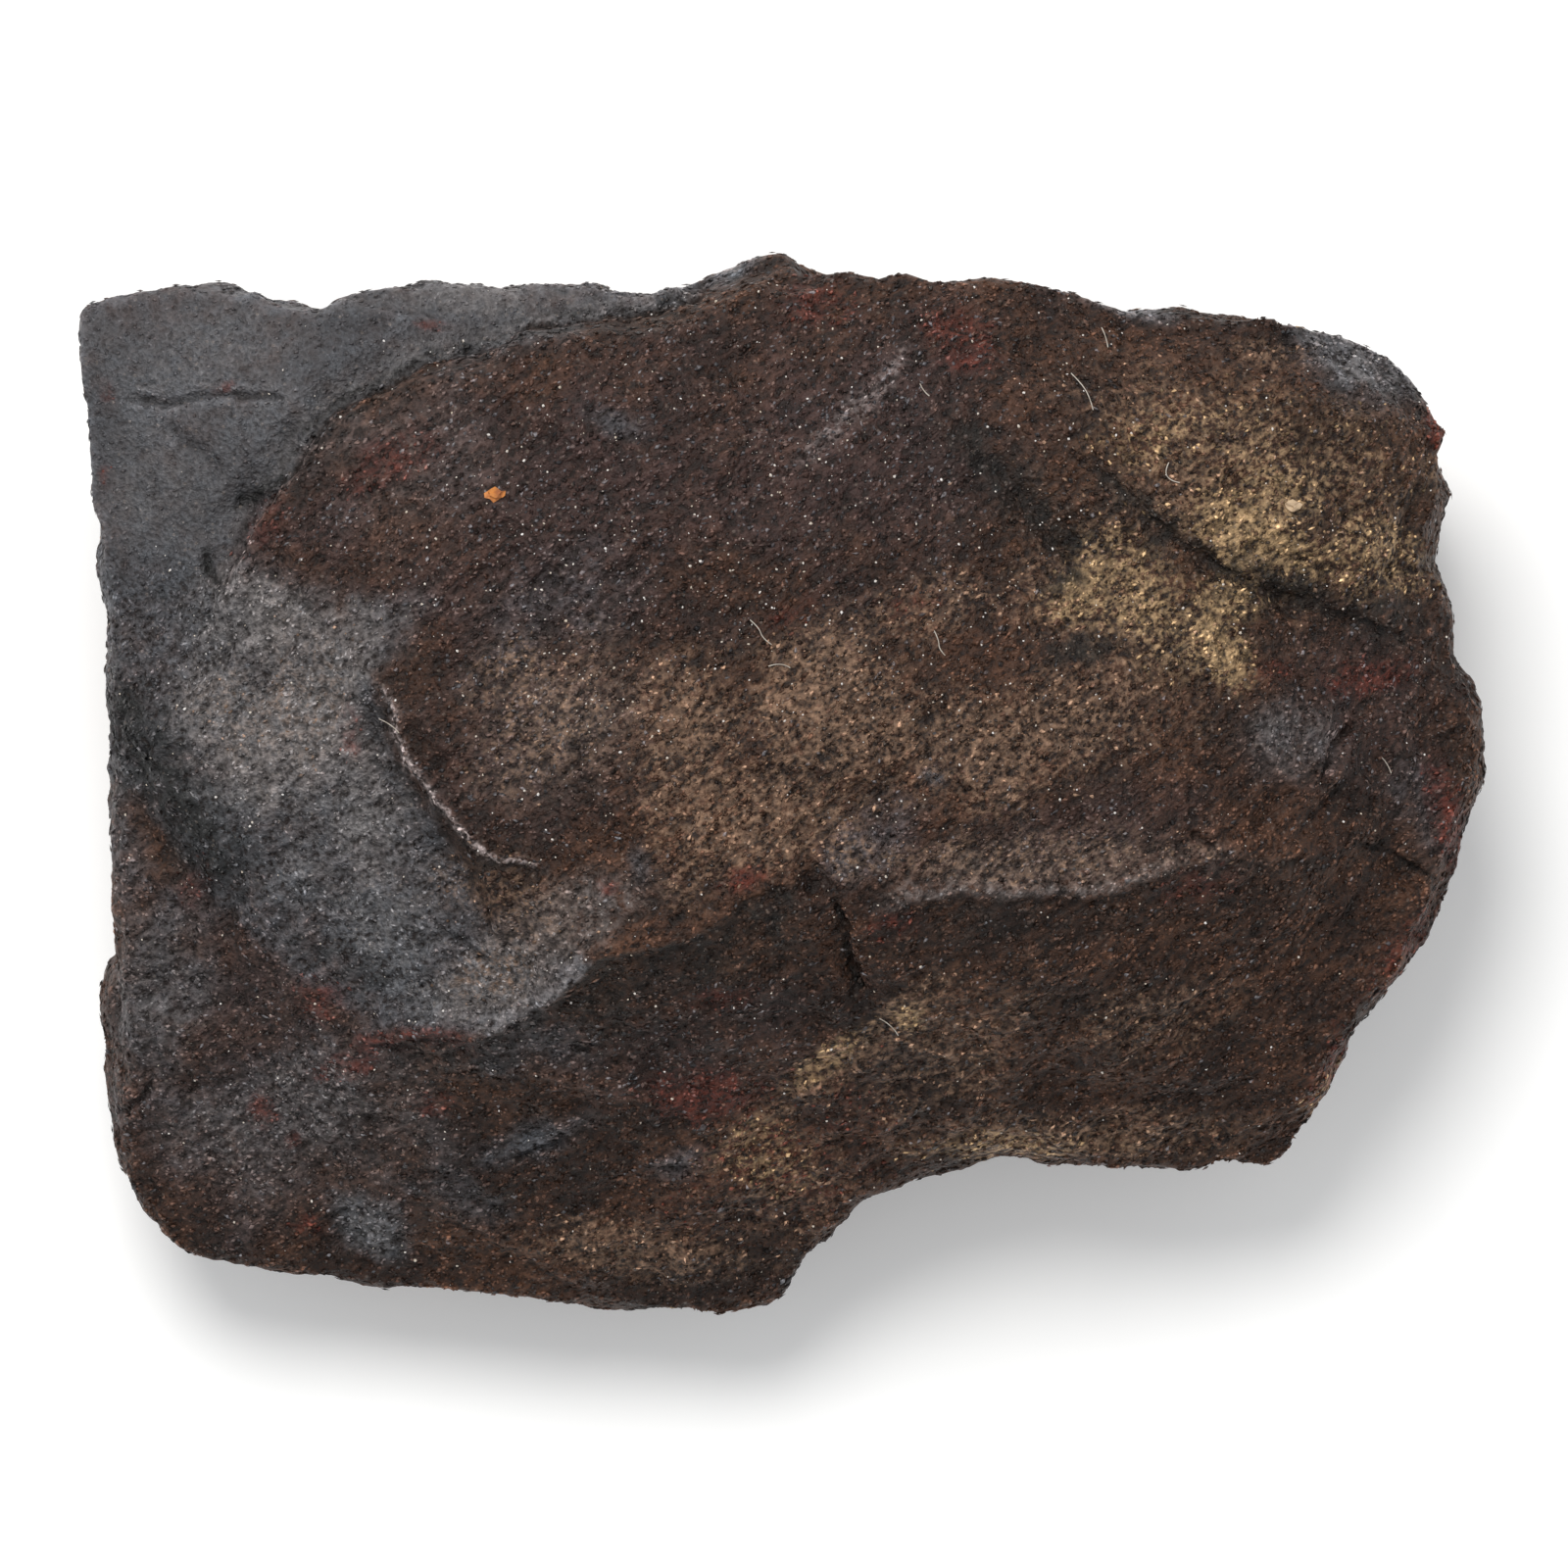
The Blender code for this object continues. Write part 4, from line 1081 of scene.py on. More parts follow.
@dataclass(frozen=True)
class GrainFinish:
    """A small bright mineral grain or crumb, with a colour that varies from one to the next."""

    name: str
    colour: Colour
    other: Colour
    roughness: float
    colour_range: Span = (0.35, 0.65)
    colour_scale: float = 1500.0
    bump_scale: float = 9000.0
    bump_depth: float = 0.02

    def build(self) -> bpy.types.Material:
        """Make the material.

        Returns:
            The material.
        """
        material, sheet = open_material(self.name)
        place = sheet.add("TexCoord").outputs["Object"]
        pick = sheet.noise(place, self.colour_scale, 2.0)
        height = sheet.noise(place, self.bump_scale, 2.0)
        shader = sheet.add(
            "BsdfPrincipled",
            base_color=sheet.blend(sheet.spread(pick, *self.colour_range), self.colour, self.other),
            roughness=sheet.between(pick, self.roughness * 0.8, self.roughness * 1.2),
            normal=sheet.add("Bump", strength=0.5, distance=self.bump_depth * MM, height=height).outputs[0],
        )
        sheet.add("OutputMaterial", surface=shader.outputs[0])
        return material


@dataclass
class OreBlock:
    """The block of ore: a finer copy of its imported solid, carved, roughened, stained and dressed."""

    solid: bpy.types.Object
    finish: OreFinish
    voxel: float = 0.3
    most_triangles: int = 197_000
    easing_rounds: int = 8
    wobble_size: float = 1.7
    wobble: float = 0.3
    face_calm: float = 0.12
    shelf_calm: float = 0.46
    shelf_start: Span = (10.0, 17.0)
    ring_border: Span = (-0.5, 0.6)
    side_roughness: float = 0.5
    run_angle: float = 40.0
    run_scale: tuple[float, float, float] = (3.4, 1.0, 1.4)
    mark_ends: float = 0.12
    seam_ends: float = 0.1
    stain_border: Span = (-0.3, 0.85)
    edge_size: float = 5.0
    edge_push: float = 0.5
    ground_steel: float = 0.72
    top_shade: float = 0.27
    side_shade: float = 0.13
    painted_underside_shade: float = 0.06
    wide_rounds: int = 14
    fine_rounds: int = 3
    painted_shade_shares: Span = (0.55, 0.75)
    wide_painted_shade: Span = (0.03, 0.2)
    fine_painted_shade: Span = (0.01, 0.07)
    painted_light_shares: Span = (1.0, 0.8)
    wide_painted_light: Span = (0.06, 0.24)
    fine_painted_light: Span = (0.015, 0.08)
    smooth_ring: tuple[Place, ...] = (
        (-46.5, 36.0), (-3.5, 36.0), (-5.6, 32.0), (-11.0, 30.7), (-16.2, 30.2), (-18.9, 28.7), (-22.9, 27.8),
        (-27.0, 25.6), (-30.5, 23.0), (-33.3, 19.0), (-36.8, 12.4), (-31.0, 12.0), (-26.8, 7.0), (-25.0, 1.0),
        (-21.0, -5.0), (-18.6, -10.0), (-16.6, -14.4), (-20.0, -16.2), (-26.0, -16.0), (-31.0, -13.2),
        (-37.0, -7.6), (-42.0, -1.0), (-46.5, 2.0),
    )
    piece: bpy.types.Object = field(init=False)

    def copy_solid(self) -> None:
        """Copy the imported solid's mesh into a new piece and join its loose triangles."""
        select_only(self.solid)
        bpy.ops.object.duplicate()
        self.piece = bpy.context.view_layer.objects.active
        bpy.ops.object.parent_clear(type="CLEAR_KEEP_TRANSFORM")
        self.piece.name = self.piece.data.name = "ore_block"
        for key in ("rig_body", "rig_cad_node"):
            if key in self.piece:
                del self.piece[key]
        bpy.ops.object.mode_set(mode="EDIT")
        bpy.ops.mesh.select_all(action="SELECT")
        bpy.ops.mesh.remove_doubles(threshold=1e-6)
        bpy.ops.object.mode_set(mode="OBJECT")

    def refine(self) -> None:
        """Give the piece an even skin fine enough for its relief, and ease the solid's flat triangles."""
        remesh = self.piece.modifiers.new("fine_skin", "REMESH")
        remesh.mode = "VOXEL"
        remesh.voxel_size = self.voxel * MM
        apply_modifier(self.piece, remesh)
        ease = self.piece.modifiers.new("ease", "SMOOTH")
        ease.factor = 0.5
        ease.iterations = self.easing_rounds
        apply_modifier(self.piece, ease)

    def add_group(self, name: str, weights: np.ndarray) -> None:
        """Keep weights on the piece as a vertex group.

        Args:
            name: The group's name.
            weights: One weight from 0 to 1 for each point.
        """
        group = self.piece.vertex_groups.new(name=name)
        for index in np.flatnonzero(weights > 0.002):
            group.add([int(index)], float(weights[index]), "REPLACE")

    def displace(
        self,
        name: str,
        height: float,
        weights: str,
        texture: bpy.types.Texture | None = None,
        guide: bpy.types.Object | None = None,
    ) -> None:
        """Push the skin along its normals with a Displace modifier and apply it.

        Args:
            name: The modifier's name.
            height: How far the full push goes, in millimetres.
            weights: The vertex group that shares out the push.
            texture: The pattern of the push, or none for an even one.
            guide: An object whose place, turn and scale the pattern follows.
        """
        push = self.piece.modifiers.new(name, "DISPLACE")
        push.strength = height * MM
        push.mid_level = 0.5 if texture else 0.0
        push.vertex_group = weights
        if texture:
            push.texture = texture
            push.texture_coords = "OBJECT" if guide else "LOCAL"
            push.texture_coords_object = guide
        apply_modifier(self.piece, push)

    def inside_smooth_ring(self, flat: np.ndarray) -> np.ndarray:
        """Find where the ore broke smooth.

        Args:
            flat: Places seen from above, in millimetres.

        Returns:
            1 for the places inside the smooth ring and 0 for the rest, with a soft border.
        """
        ring = (*self.smooth_ring, self.smooth_ring[0])
        inside = np.zeros(len(flat), bool)
        for (x1, y1), (x2, y2) in zip(ring, ring[1:]):
            spans = (y1 > flat[:, 1]) != (y2 > flat[:, 1])
            run = (y2 - y1) or 1e-9
            inside ^= spans & (flat[:, 0] < (x2 - x1) * (flat[:, 1] - y1) / run + x1)
        gap, _, _ = distance_to_line(flat, ring)
        return ramp(np.where(inside, gap, -gap), *self.ring_border)

    def calm(self, flat: np.ndarray, normals: np.ndarray) -> np.ndarray:
        """Return how far the relief is held down: most of all on the shelf, and less on the west face."""
        share = self.face_calm + self.shelf_calm * ramp(flat[:, 1], *self.shelf_start)
        return share * self.inside_smooth_ring(flat) * ramp(normals[:, 2], 0.2, 0.5)

    def roughen(self) -> None:
        """Add lumps, hackly chips and streaked grain, which stay low where the ore broke smooth."""
        points, normals = read_points(self.piece.data), read_normals(self.piece.data)
        sides = self.side_roughness + (1.0 - self.side_roughness) * ramp(normals[:, 2], 0.0, 0.5)
        self.add_group("rough", (1.0 - self.calm(points[:, :2], normals)) * sides)
        guide = bpy.data.objects.new("grain_direction", None)
        bpy.context.scene.collection.objects.link(guide)
        guide.rotation_euler = (0.0, 0.0, math.radians(self.run_angle))
        guide.scale = self.run_scale
        bpy.context.view_layer.update()
        for layer in LAYERS:
            texture = bpy.data.textures.new(layer.name, layer.pattern)
            texture.noise_scale = layer.size * MM
            if layer.pattern == "CLOUDS":
                texture.noise_depth = 3
            self.displace(layer.name, layer.height, "rough", texture, guide if layer.streaked else None)
        bpy.data.objects.remove(guide, do_unlink=True)

    def wobbled(self, points: np.ndarray) -> np.ndarray:
        """Return the places seen from above, pushed about a little so that marks run unevenly."""
        shifts = [noise_field(points, self.wobble_size, seed, 2) for seed in (41, 42)]
        return points[:, :2] + self.wobble * np.array(shifts).T

    def mark_weights(self, mark: Mark, flat: np.ndarray, upward: np.ndarray) -> np.ndarray:
        """How strongly each point is moved by one mark.

        Args:
            mark: The mark.
            flat: The points seen from above, in millimetres.
            upward: 1 for each point on the upper side and 0 for the rest.

        Returns:
            A weight from 0 to 1 for each point.
        """
        gap, side, share = distance_to_line(flat, mark.line)
        ends = ramp(share, 0.0, self.mark_ends) * ramp(1.0 - share, 0.0, self.mark_ends)
        if mark.profile is Profile.LEDGE:
            across = ramp(side * gap, -mark.width, mark.width)
            fade = 1.0 - ramp(gap, 0.2 * mark.reach, mark.reach)
            return across * fade * upward * np.sqrt(ends)
        return np.exp(-((gap / mark.width) ** 2)) * upward * np.sqrt(ends)

    def carve(self) -> None:
        """Cut the cracks and grooves, raise the lips and step the ledges."""
        points, normals = read_points(self.piece.data), read_normals(self.piece.data)
        flat, upward = self.wobbled(points), ramp(normals[:, 2], 0.1, 0.3)
        for mark in MARKS:
            self.add_group(mark.name, self.mark_weights(mark, flat, upward))
        for mark in MARKS:
            self.displace(mark.name, mark.height, mark.name)

    def lighten(self) -> None:
        """Thin the underside so that the piece stays within its triangles."""
        mesh = self.piece.data
        triangles = sum(len(face.vertices) - 2 for face in mesh.polygons)
        if triangles <= self.most_triangles:
            return
        hidden = ramp(-read_normals(mesh)[:, 2], -0.1, 0.5)
        self.add_group("thinning", 0.12 + 0.88 * hidden)
        thin = self.piece.modifiers.new("lighten", "DECIMATE")
        thin.vertex_group = "thinning"
        thin.vertex_group_factor = 1.0
        thin.ratio = self.most_triangles / triangles
        apply_modifier(self.piece, thin)

    def settle(self) -> None:
        """Keep the resting face flat on the floor."""
        points = read_points(self.piece.data)
        points[:, 2] = np.maximum(points[:, 2], 0.0)
        write_points(self.piece.data, points)
        self.piece.vertex_groups.clear()

    def stain_mask(self, stain: Stain, flat: np.ndarray, edge: np.ndarray) -> np.ndarray:
        """How strongly one stain shows at each point.

        Args:
            stain: The stain.
            flat: The points seen from above, in millimetres.
            edge: Noise that makes its edge uneven.

        Returns:
            The strength at each point.
        """
        turn = math.radians(stain.heading)
        along = (flat - stain.middle) @ (math.cos(turn), math.sin(turn))
        across = (flat - stain.middle) @ (-math.sin(turn), math.cos(turn))
        away = np.hypot(along / stain.half[0], across / stain.half[1])
        return stain.strength * ramp(1.0 - away + self.edge_push * edge, *self.stain_border)

    def seam_mask(self, seam: Seam, flat: np.ndarray) -> np.ndarray:
        """How strongly one seam shows at each point: less towards its ends.

        Args:
            seam: The seam.
            flat: The points seen from above, in millimetres.

        Returns:
            The strength at each point.
        """
        gap, side, share = distance_to_line(flat, seam.line)
        ends = ramp(share, 0.0, self.seam_ends) * ramp(1.0 - share, 0.0, self.seam_ends)
        mask = seam.strength * np.exp(-((gap / seam.width) ** 2)) * (0.35 + 0.65 * ends)
        if seam.side:
            mask *= ramp(seam.side * side * gap, -0.15, 0.15) * ends
        return mask

    def stain(self) -> None:
        """Lay every stain and seam on the piece, painted shade and light among them, and keep each tint as an
        attribute.
        """
        mesh = self.piece.data
        points, normals = read_points(mesh), read_normals(mesh)
        flat = self.wobbled(points)
        edge = noise_field(points, self.edge_size, 51, 3)
        tints = {tint: np.zeros(len(points)) for tint in Tint}
        for stain in STAINS:
            tints[stain.tint] = np.maximum(tints[stain.tint], self.stain_mask(stain, flat, edge))
        for seam in SEAMS:
            tints[seam.tint] = np.maximum(tints[seam.tint], self.seam_mask(seam, flat))
        ground = self.ground_steel * self.inside_smooth_ring(flat)
        tints[Tint.STEEL] = np.maximum(tints[Tint.STEEL], ground)
        shown = ramp(normals[:, 2], -0.15, 0.15)
        for tint, values in tints.items():
            store_values(mesh, tint.value, values * shown + self.hidden_tint(tint, points) * (1.0 - shown))
        store_values(mesh, "rough", 1.0 - self.calm(flat, normals))
        # Undersides get painted shade: their skin is made darker.
        upper, under = ramp(normals[:, 2], 0.2, 0.75), ramp(-normals[:, 2], 0.0, 0.6)
        shade = self.top_shade + self.side_shade * (1.0 - upper) - self.painted_underside_shade * under
        store_values(mesh, "shade", shade)
        store_values(mesh, "gloss", np.zeros(len(points)))

    @staticmethod
    def hidden_tint(tint: Tint, points: np.ndarray) -> np.ndarray | float:
        """How strongly one tint shows on the sides and the underside, where noise spreads it.

        Args:
            tint: The tint.
            points: Places in millimetres.

        Returns:
            The strength at each point, or 0 for a tint that doesn't show there.
        """
        if tint not in HIDDEN_TINTS:
            return 0.0
        hidden = HIDDEN_TINTS[tint]
        field_of_noise = noise_field(points, hidden.size, hidden.seed, 3)
        return hidden.strength * ramp(field_of_noise, hidden.level, hidden.level + 0.5)

    def paint_relief_light(self) -> None:
        """Mark the hollows for painted shade and the crests for painted highlights."""
        mesh = self.piece.data
        points, normals = read_points(mesh), read_normals(mesh)
        wide, fine = (
            ((neighbour_mean(mesh, points, rounds) - points) * normals).sum(axis=1)
            for rounds in (self.wide_rounds, self.fine_rounds)
        )
        hollows = (ramp(wide, *self.wide_painted_shade), ramp(fine, *self.fine_painted_shade))
        crests = (ramp(-wide, *self.wide_painted_light), ramp(-fine, *self.fine_painted_light))
        pairs = {"painted_hollow_shade": (self.painted_shade_shares, hollows), "painted_crest_light": (self.painted_light_shares, crests)}
        for name, (shares, values) in pairs.items():
            store_values(mesh, name, np.maximum(shares[0] * values[0], shares[1] * values[1]))

    def dress(self) -> None:
        """Give the piece its material."""
        self.piece.data.materials.clear()
        self.piece.data.materials.append(self.finish.build())
        select_only(self.piece)
        bpy.ops.object.shade_smooth()

    def build(self) -> bpy.types.Object:
        """Make the finished block.

        Returns:
            The piece.
        """
        self.copy_solid()
        self.refine()
        self.roughen()
        self.carve()
        self.lighten()
        self.settle()
        self.stain()
        self.paint_relief_light()
        self.dress()
        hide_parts(NODE)
        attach(self.piece, BODY)
        return self.piece


@dataclass
class GlintGrains:
    """Small crystals that stand in the skin of the ore and catch the light."""

    block: bpy.types.Object
    finish: GrainFinish
    name: str
    count: int
    size: Span
    seed: int
    flatness: float = 0.6
    sunk: float = 0.25
    tilt: float = 0.9
    jitter: float = 0.12
    lowest: float = 0.8
    unevenness: Span = (0.6, 1.3)
    small_share: float = 2.8
    patch_size: float = 7.0
    middle: Place = (-1.0, 11.0)
    middle_reach: Place = (24.0, 15.0)

    def model_crystal(self) -> tuple[np.ndarray, list[tuple[int, ...]]]:
        """Shape one crystal: a short five-sided stub that is narrower at its top.

        Returns:
            Its points, 1 across, and its faces.
        """
        deselect_all()
        bpy.ops.mesh.primitive_cone_add(vertices=5, radius1=0.5, radius2=0.28, depth=0.7, location=(0, 0, 0))
        return take_shape(bpy.context.view_layer.objects.active)

    def choose_places(self) -> tuple[np.ndarray, np.ndarray]:
        """Choose where the crystals sit: mostly on the upper side, and fewer where the ore broke smooth.

        Returns:
            The places in metres and the normals there.
        """
        mesh = self.block.data
        points, normals = read_points(mesh), read_normals(mesh)
        rough = read_values(mesh, "rough")
        patch = ramp(noise_field(points, self.patch_size, self.seed, 2), -0.35, 0.35)
        chance = (0.12 + 0.88 * ramp(normals[:, 2], 0.0, 0.6)) * (0.25 + 0.75 * patch) * (rough**2 + 0.08)
        away = [(points[:, i] - self.middle[i]) / self.middle_reach[i] for i in (0, 1)]
        chance *= (0.15 + np.exp(-(away[0] ** 2 + away[1] ** 2))) * (points[:, 2] > self.lowest)
        rng = np.random.default_rng(self.seed)
        picked = rng.choice(len(points), self.count, replace=False, p=chance / chance.sum())
        jitter = rng.normal(0.0, self.jitter, (self.count, 3))
        jitter -= (jitter * normals[picked]).sum(axis=1)[:, None] * normals[picked]
        return (points[picked] + jitter) * MM, normals[picked]

    def build(self) -> bpy.types.Object:
        """Make all the crystals as one joined mesh.

        Returns:
            The piece.
        """
        crystal, faces = self.model_crystal()
        places, normals = self.choose_places()
        rng = np.random.default_rng(self.seed + 1)
        small, large = self.size
        points: list[np.ndarray] = []
        corners: list[tuple[int, ...]] = []
        for index, (place, normal) in enumerate(zip(places, normals)):
            turn = np.array(Euler(rng.uniform(-self.tilt, self.tilt, 3)).to_matrix())
            lean = np.array(Vector(normal).to_track_quat("Z", "Y").to_matrix())
            across = small + (large - small) * rng.random() ** self.small_share
            shape = crystal * rng.uniform(*self.unevenness, 3) * (1.0, 1.0, self.flatness)
            placed = (lean @ turn @ shape.T).T * across * MM
            points.append(placed + place + normal * across * MM * (0.5 - self.sunk) * self.flatness)
            corners.extend(tuple(i + index * len(crystal) for i in face) for face in faces)
        mesh = bpy.data.meshes.new(self.name)
        mesh.from_pydata(np.concatenate(points).tolist(), [], corners)
        mesh.materials.append(self.finish.build())
        return add_piece(self.name, mesh)


def grain_heading(flat: np.ndarray) -> np.ndarray:
    """Find the heading that the grains follow.

    Args:
        flat: Places seen from above, in millimetres.

    Returns:
        The heading at each place, in radians.
    """
    total = np.zeros((len(flat), 2))
    for place, heading in GRAIN_RUNS:
        pull = 1.0 / (((flat - place) ** 2).sum(axis=1) + 9.0) ** 1.5
        double = math.radians(2.0 * heading)
        total += pull[:, None] * (math.cos(double), math.sin(double))
    return 0.5 * np.arctan2(total[:, 1], total[:, 0])


@dataclass
class GrainCrust:
    """Coarse grains that stand in the skin of the ore and take its tints one by one."""

    block: bpy.types.Object
    name: str
    count: int
    seed: int
    length: Span = (0.34, 0.62)
    width: Span = (0.2, 0.36)
    height: Span = (0.14, 0.3)
    lean: float = 0.35
    on_sides: bool = False
    scatter: float = 0.45
    drift: float = 0.05
    sunk: float = 0.04
    smooth_size: float = 0.65
    unevenness: Span = (0.65, 1.35)
    lowest: float = 0.6
    clump_size: float = 1.6
    clump_push: float = 0.35
    full_tint: Span = (0.55, 1.0)
    part_tint: Span = (0.7, 1.1)
    missed_tint: float = 0.12
    grey_tint: float = 0.6
    grey_chance: Span = (0.05, 0.25)
    light_share: float = 0.36
    light: Span = (0.6, 1.0)
    dark: Span = (0.1, 0.42)
    middle_shade: float = 0.42
    pickiness: dict[Tint, float] = field(
        default_factory=lambda: {Tint.TAN: 0.62, Tint.OCHRE: 0.85, Tint.RUST: 0.9, Tint.PALE: 0.8}
    )

    @staticmethod
    def model_grain() -> tuple[np.ndarray, np.ndarray]:
        """Shape one grain: two low four-sided points, base to base, 1 across.

        Returns:
            Its points and its faces.
        """
        deselect_all()
        bpy.ops.mesh.primitive_cone_add(
            vertices=4, radius1=0.5, depth=0.5, end_fill_type="TRIFAN", location=(0, 0, 0)
        )
        points, faces = take_shape(bpy.context.view_layer.objects.active)
        on_axis = np.hypot(points[:, 0], points[:, 1]) < 0.01
        points[:, 2] = np.where(on_axis, 0.5 * np.sign(points[:, 2]), 0.0)
        return points, np.array(faces)

    def choose_places(self, rng: np.random.Generator, points: np.ndarray, normals: np.ndarray) -> np.ndarray:
        """Choose the points of the block where grains sit: most of all where it is rough.

        Args:
            rng: The source of chance.
            points: The block's points, in millimetres.
            normals: The normals there.

        Returns:
            The picked points' numbers.
        """
        upper = ramp(normals[:, 2], 0.2, 0.75)
        chance = (1.0 - upper) * ramp(normals[:, 2], -0.8, -0.4) if self.on_sides else upper
        chance = chance * (0.2 + 0.8 * self.read("rough"))
        chance *= points[:, 2] > self.lowest
        return rng.choice(len(points), self.count, replace=False, p=chance / chance.sum())

    def read(self, name: str) -> np.ndarray:
        """Return one attribute of the block."""
        return read_values(self.block.data, name)

    def axes(self, rng: np.random.Generator, flat: np.ndarray, normals: np.ndarray) -> np.ndarray:
        """Turn each grain along the run of the ore, with some scatter.

        Args:
            rng: The source of chance.
            flat: The grains' places seen from above, in millimetres.
            normals: The skin's normals there.

        Returns:
            Three axes for each grain, one in each row.
        """
        heading = grain_heading(flat) + rng.normal(0.0, self.scatter, len(flat))
        upright = normals + rng.normal(0.0, self.lean, normals.shape)
        upright /= np.linalg.norm(upright, axis=1)[:, None]
        along = np.stack((np.cos(heading), np.sin(heading), np.zeros(len(flat))), axis=1)
        along -= (along * upright).sum(axis=1)[:, None] * upright
        along /= np.linalg.norm(along, axis=1)[:, None]
        return np.stack((along, np.cross(upright, along), upright), axis=1)

    def build(self) -> bpy.types.Object:
        """Make all the grains as one joined mesh.

        Returns:
            The piece.
        """
        rng = np.random.default_rng(self.seed)
        points, normals = read_points(self.block.data), read_normals(self.block.data).astype(float)
        picked = self.choose_places(rng, points, normals)
        normals = normals[picked]
        places = points[picked] + rng.normal(0.0, self.drift, (self.count, 3)) - self.sunk * normals
        shape, faces = self.model_grain()
        each = len(shape)
        spans = (self.length, self.width, self.height)
        sizes = np.stack([rng.uniform(*span, self.count) for span in spans], axis=1)
        sizes *= (self.smooth_size + (1.0 - self.smooth_size) * self.read("rough")[picked])[:, None]
        shapes = shape[None] * rng.uniform(*self.unevenness, (self.count, each, 1)) * sizes[:, None, :]
        axes = self.axes(rng, places[:, :2], normals)
        placed = np.einsum("gpa,gab->gpb", shapes, axes) + places[:, None, :]
        mesh = self.mesh_from(placed.reshape(-1, 3) * MM, faces, each)
        for name, values in self.looks(rng, picked, points).items():
            store_values(mesh, name, np.repeat(values, each))
        mesh.materials.append(self.block.data.materials[0])
        return add_piece(self.name, mesh)

    def mesh_from(self, points: np.ndarray, faces: np.ndarray, each: int) -> bpy.types.Mesh:
        """Make one mesh of all the grains.

        Args:
            points: All their points, in metres.
            faces: The faces of one grain.
            each: The number of points in each.

        Returns:
            The mesh.
        """
        corners = (faces[None] + each * np.arange(self.count)[:, None, None]).reshape(-1)
        mesh = bpy.data.meshes.new(self.name)
        mesh.vertices.add(len(points))
        mesh.vertices.foreach_set("co", points.ravel())
        mesh.loops.add(len(corners))
        mesh.loops.foreach_set("vertex_index", corners)
        mesh.polygons.add(len(corners) // 3)
        mesh.polygons.foreach_set("loop_start", np.arange(0, len(corners), 3))
        mesh.update(calc_edges=True)
        return mesh

    def looks(
        self, rng: np.random.Generator, picked: np.ndarray, points: np.ndarray
    ) -> dict[str, np.ndarray]:
        """Give each grain its own share of the tints around it, and its own lightness.

        Args:
            rng: The source of chance.
            picked: The points of the block where the grains sit.
            points: All the block's points, in millimetres.

        Returns:
            The values of each attribute, one for each grain.
        """
        near = {name: self.read(name)[picked] for name in ("rough", "painted_hollow_shade", "painted_crest_light", "plum", "ash_and_painted_light")}
        clump = noise_field(points[picked], self.clump_size, self.seed, 2)
        looks = {}
        for tint in Tint:
            values = self.read(tint.value)[picked]
            if tint in self.pickiness:
                chance = values * self.pickiness[tint] + self.clump_push * clump * ramp(values, 0.02, 0.4)
                taken = rng.random(self.count) < chance
                values = np.where(taken, rng.uniform(*self.full_tint, self.count), self.missed_tint * values)
            elif tint is Tint.STEEL:
                least, more = self.grey_chance
                grey = self.grey_tint * (rng.random(self.count) < least + more * near["plum"])
                values = np.maximum(values * rng.uniform(*self.part_tint, self.count), grey)
            else:
                values = values * rng.uniform(*self.part_tint, self.count)
            looks[tint.value] = values
        light = rng.random(self.count) < self.light_share
        shade = np.where(light, rng.uniform(*self.light, self.count), rng.uniform(*self.dark, self.count))
        contrast = (0.2 + 0.8 * ramp(near["rough"], 0.35, 0.95)) * (1.0 - 0.35 * near["ash_and_painted_light"])
        looks["shade"] = self.middle_shade + (shade - self.middle_shade) * contrast
        looks["gloss"] = rng.random(self.count) ** 2
        # Each grain takes the painted shade and painted highlight of the skin around it.
        looks["rough"], looks["painted_crest_light"] = near["rough"], near["painted_crest_light"]
        looks["painted_hollow_shade"] = 0.7 * near["painted_hollow_shade"]
        return looks


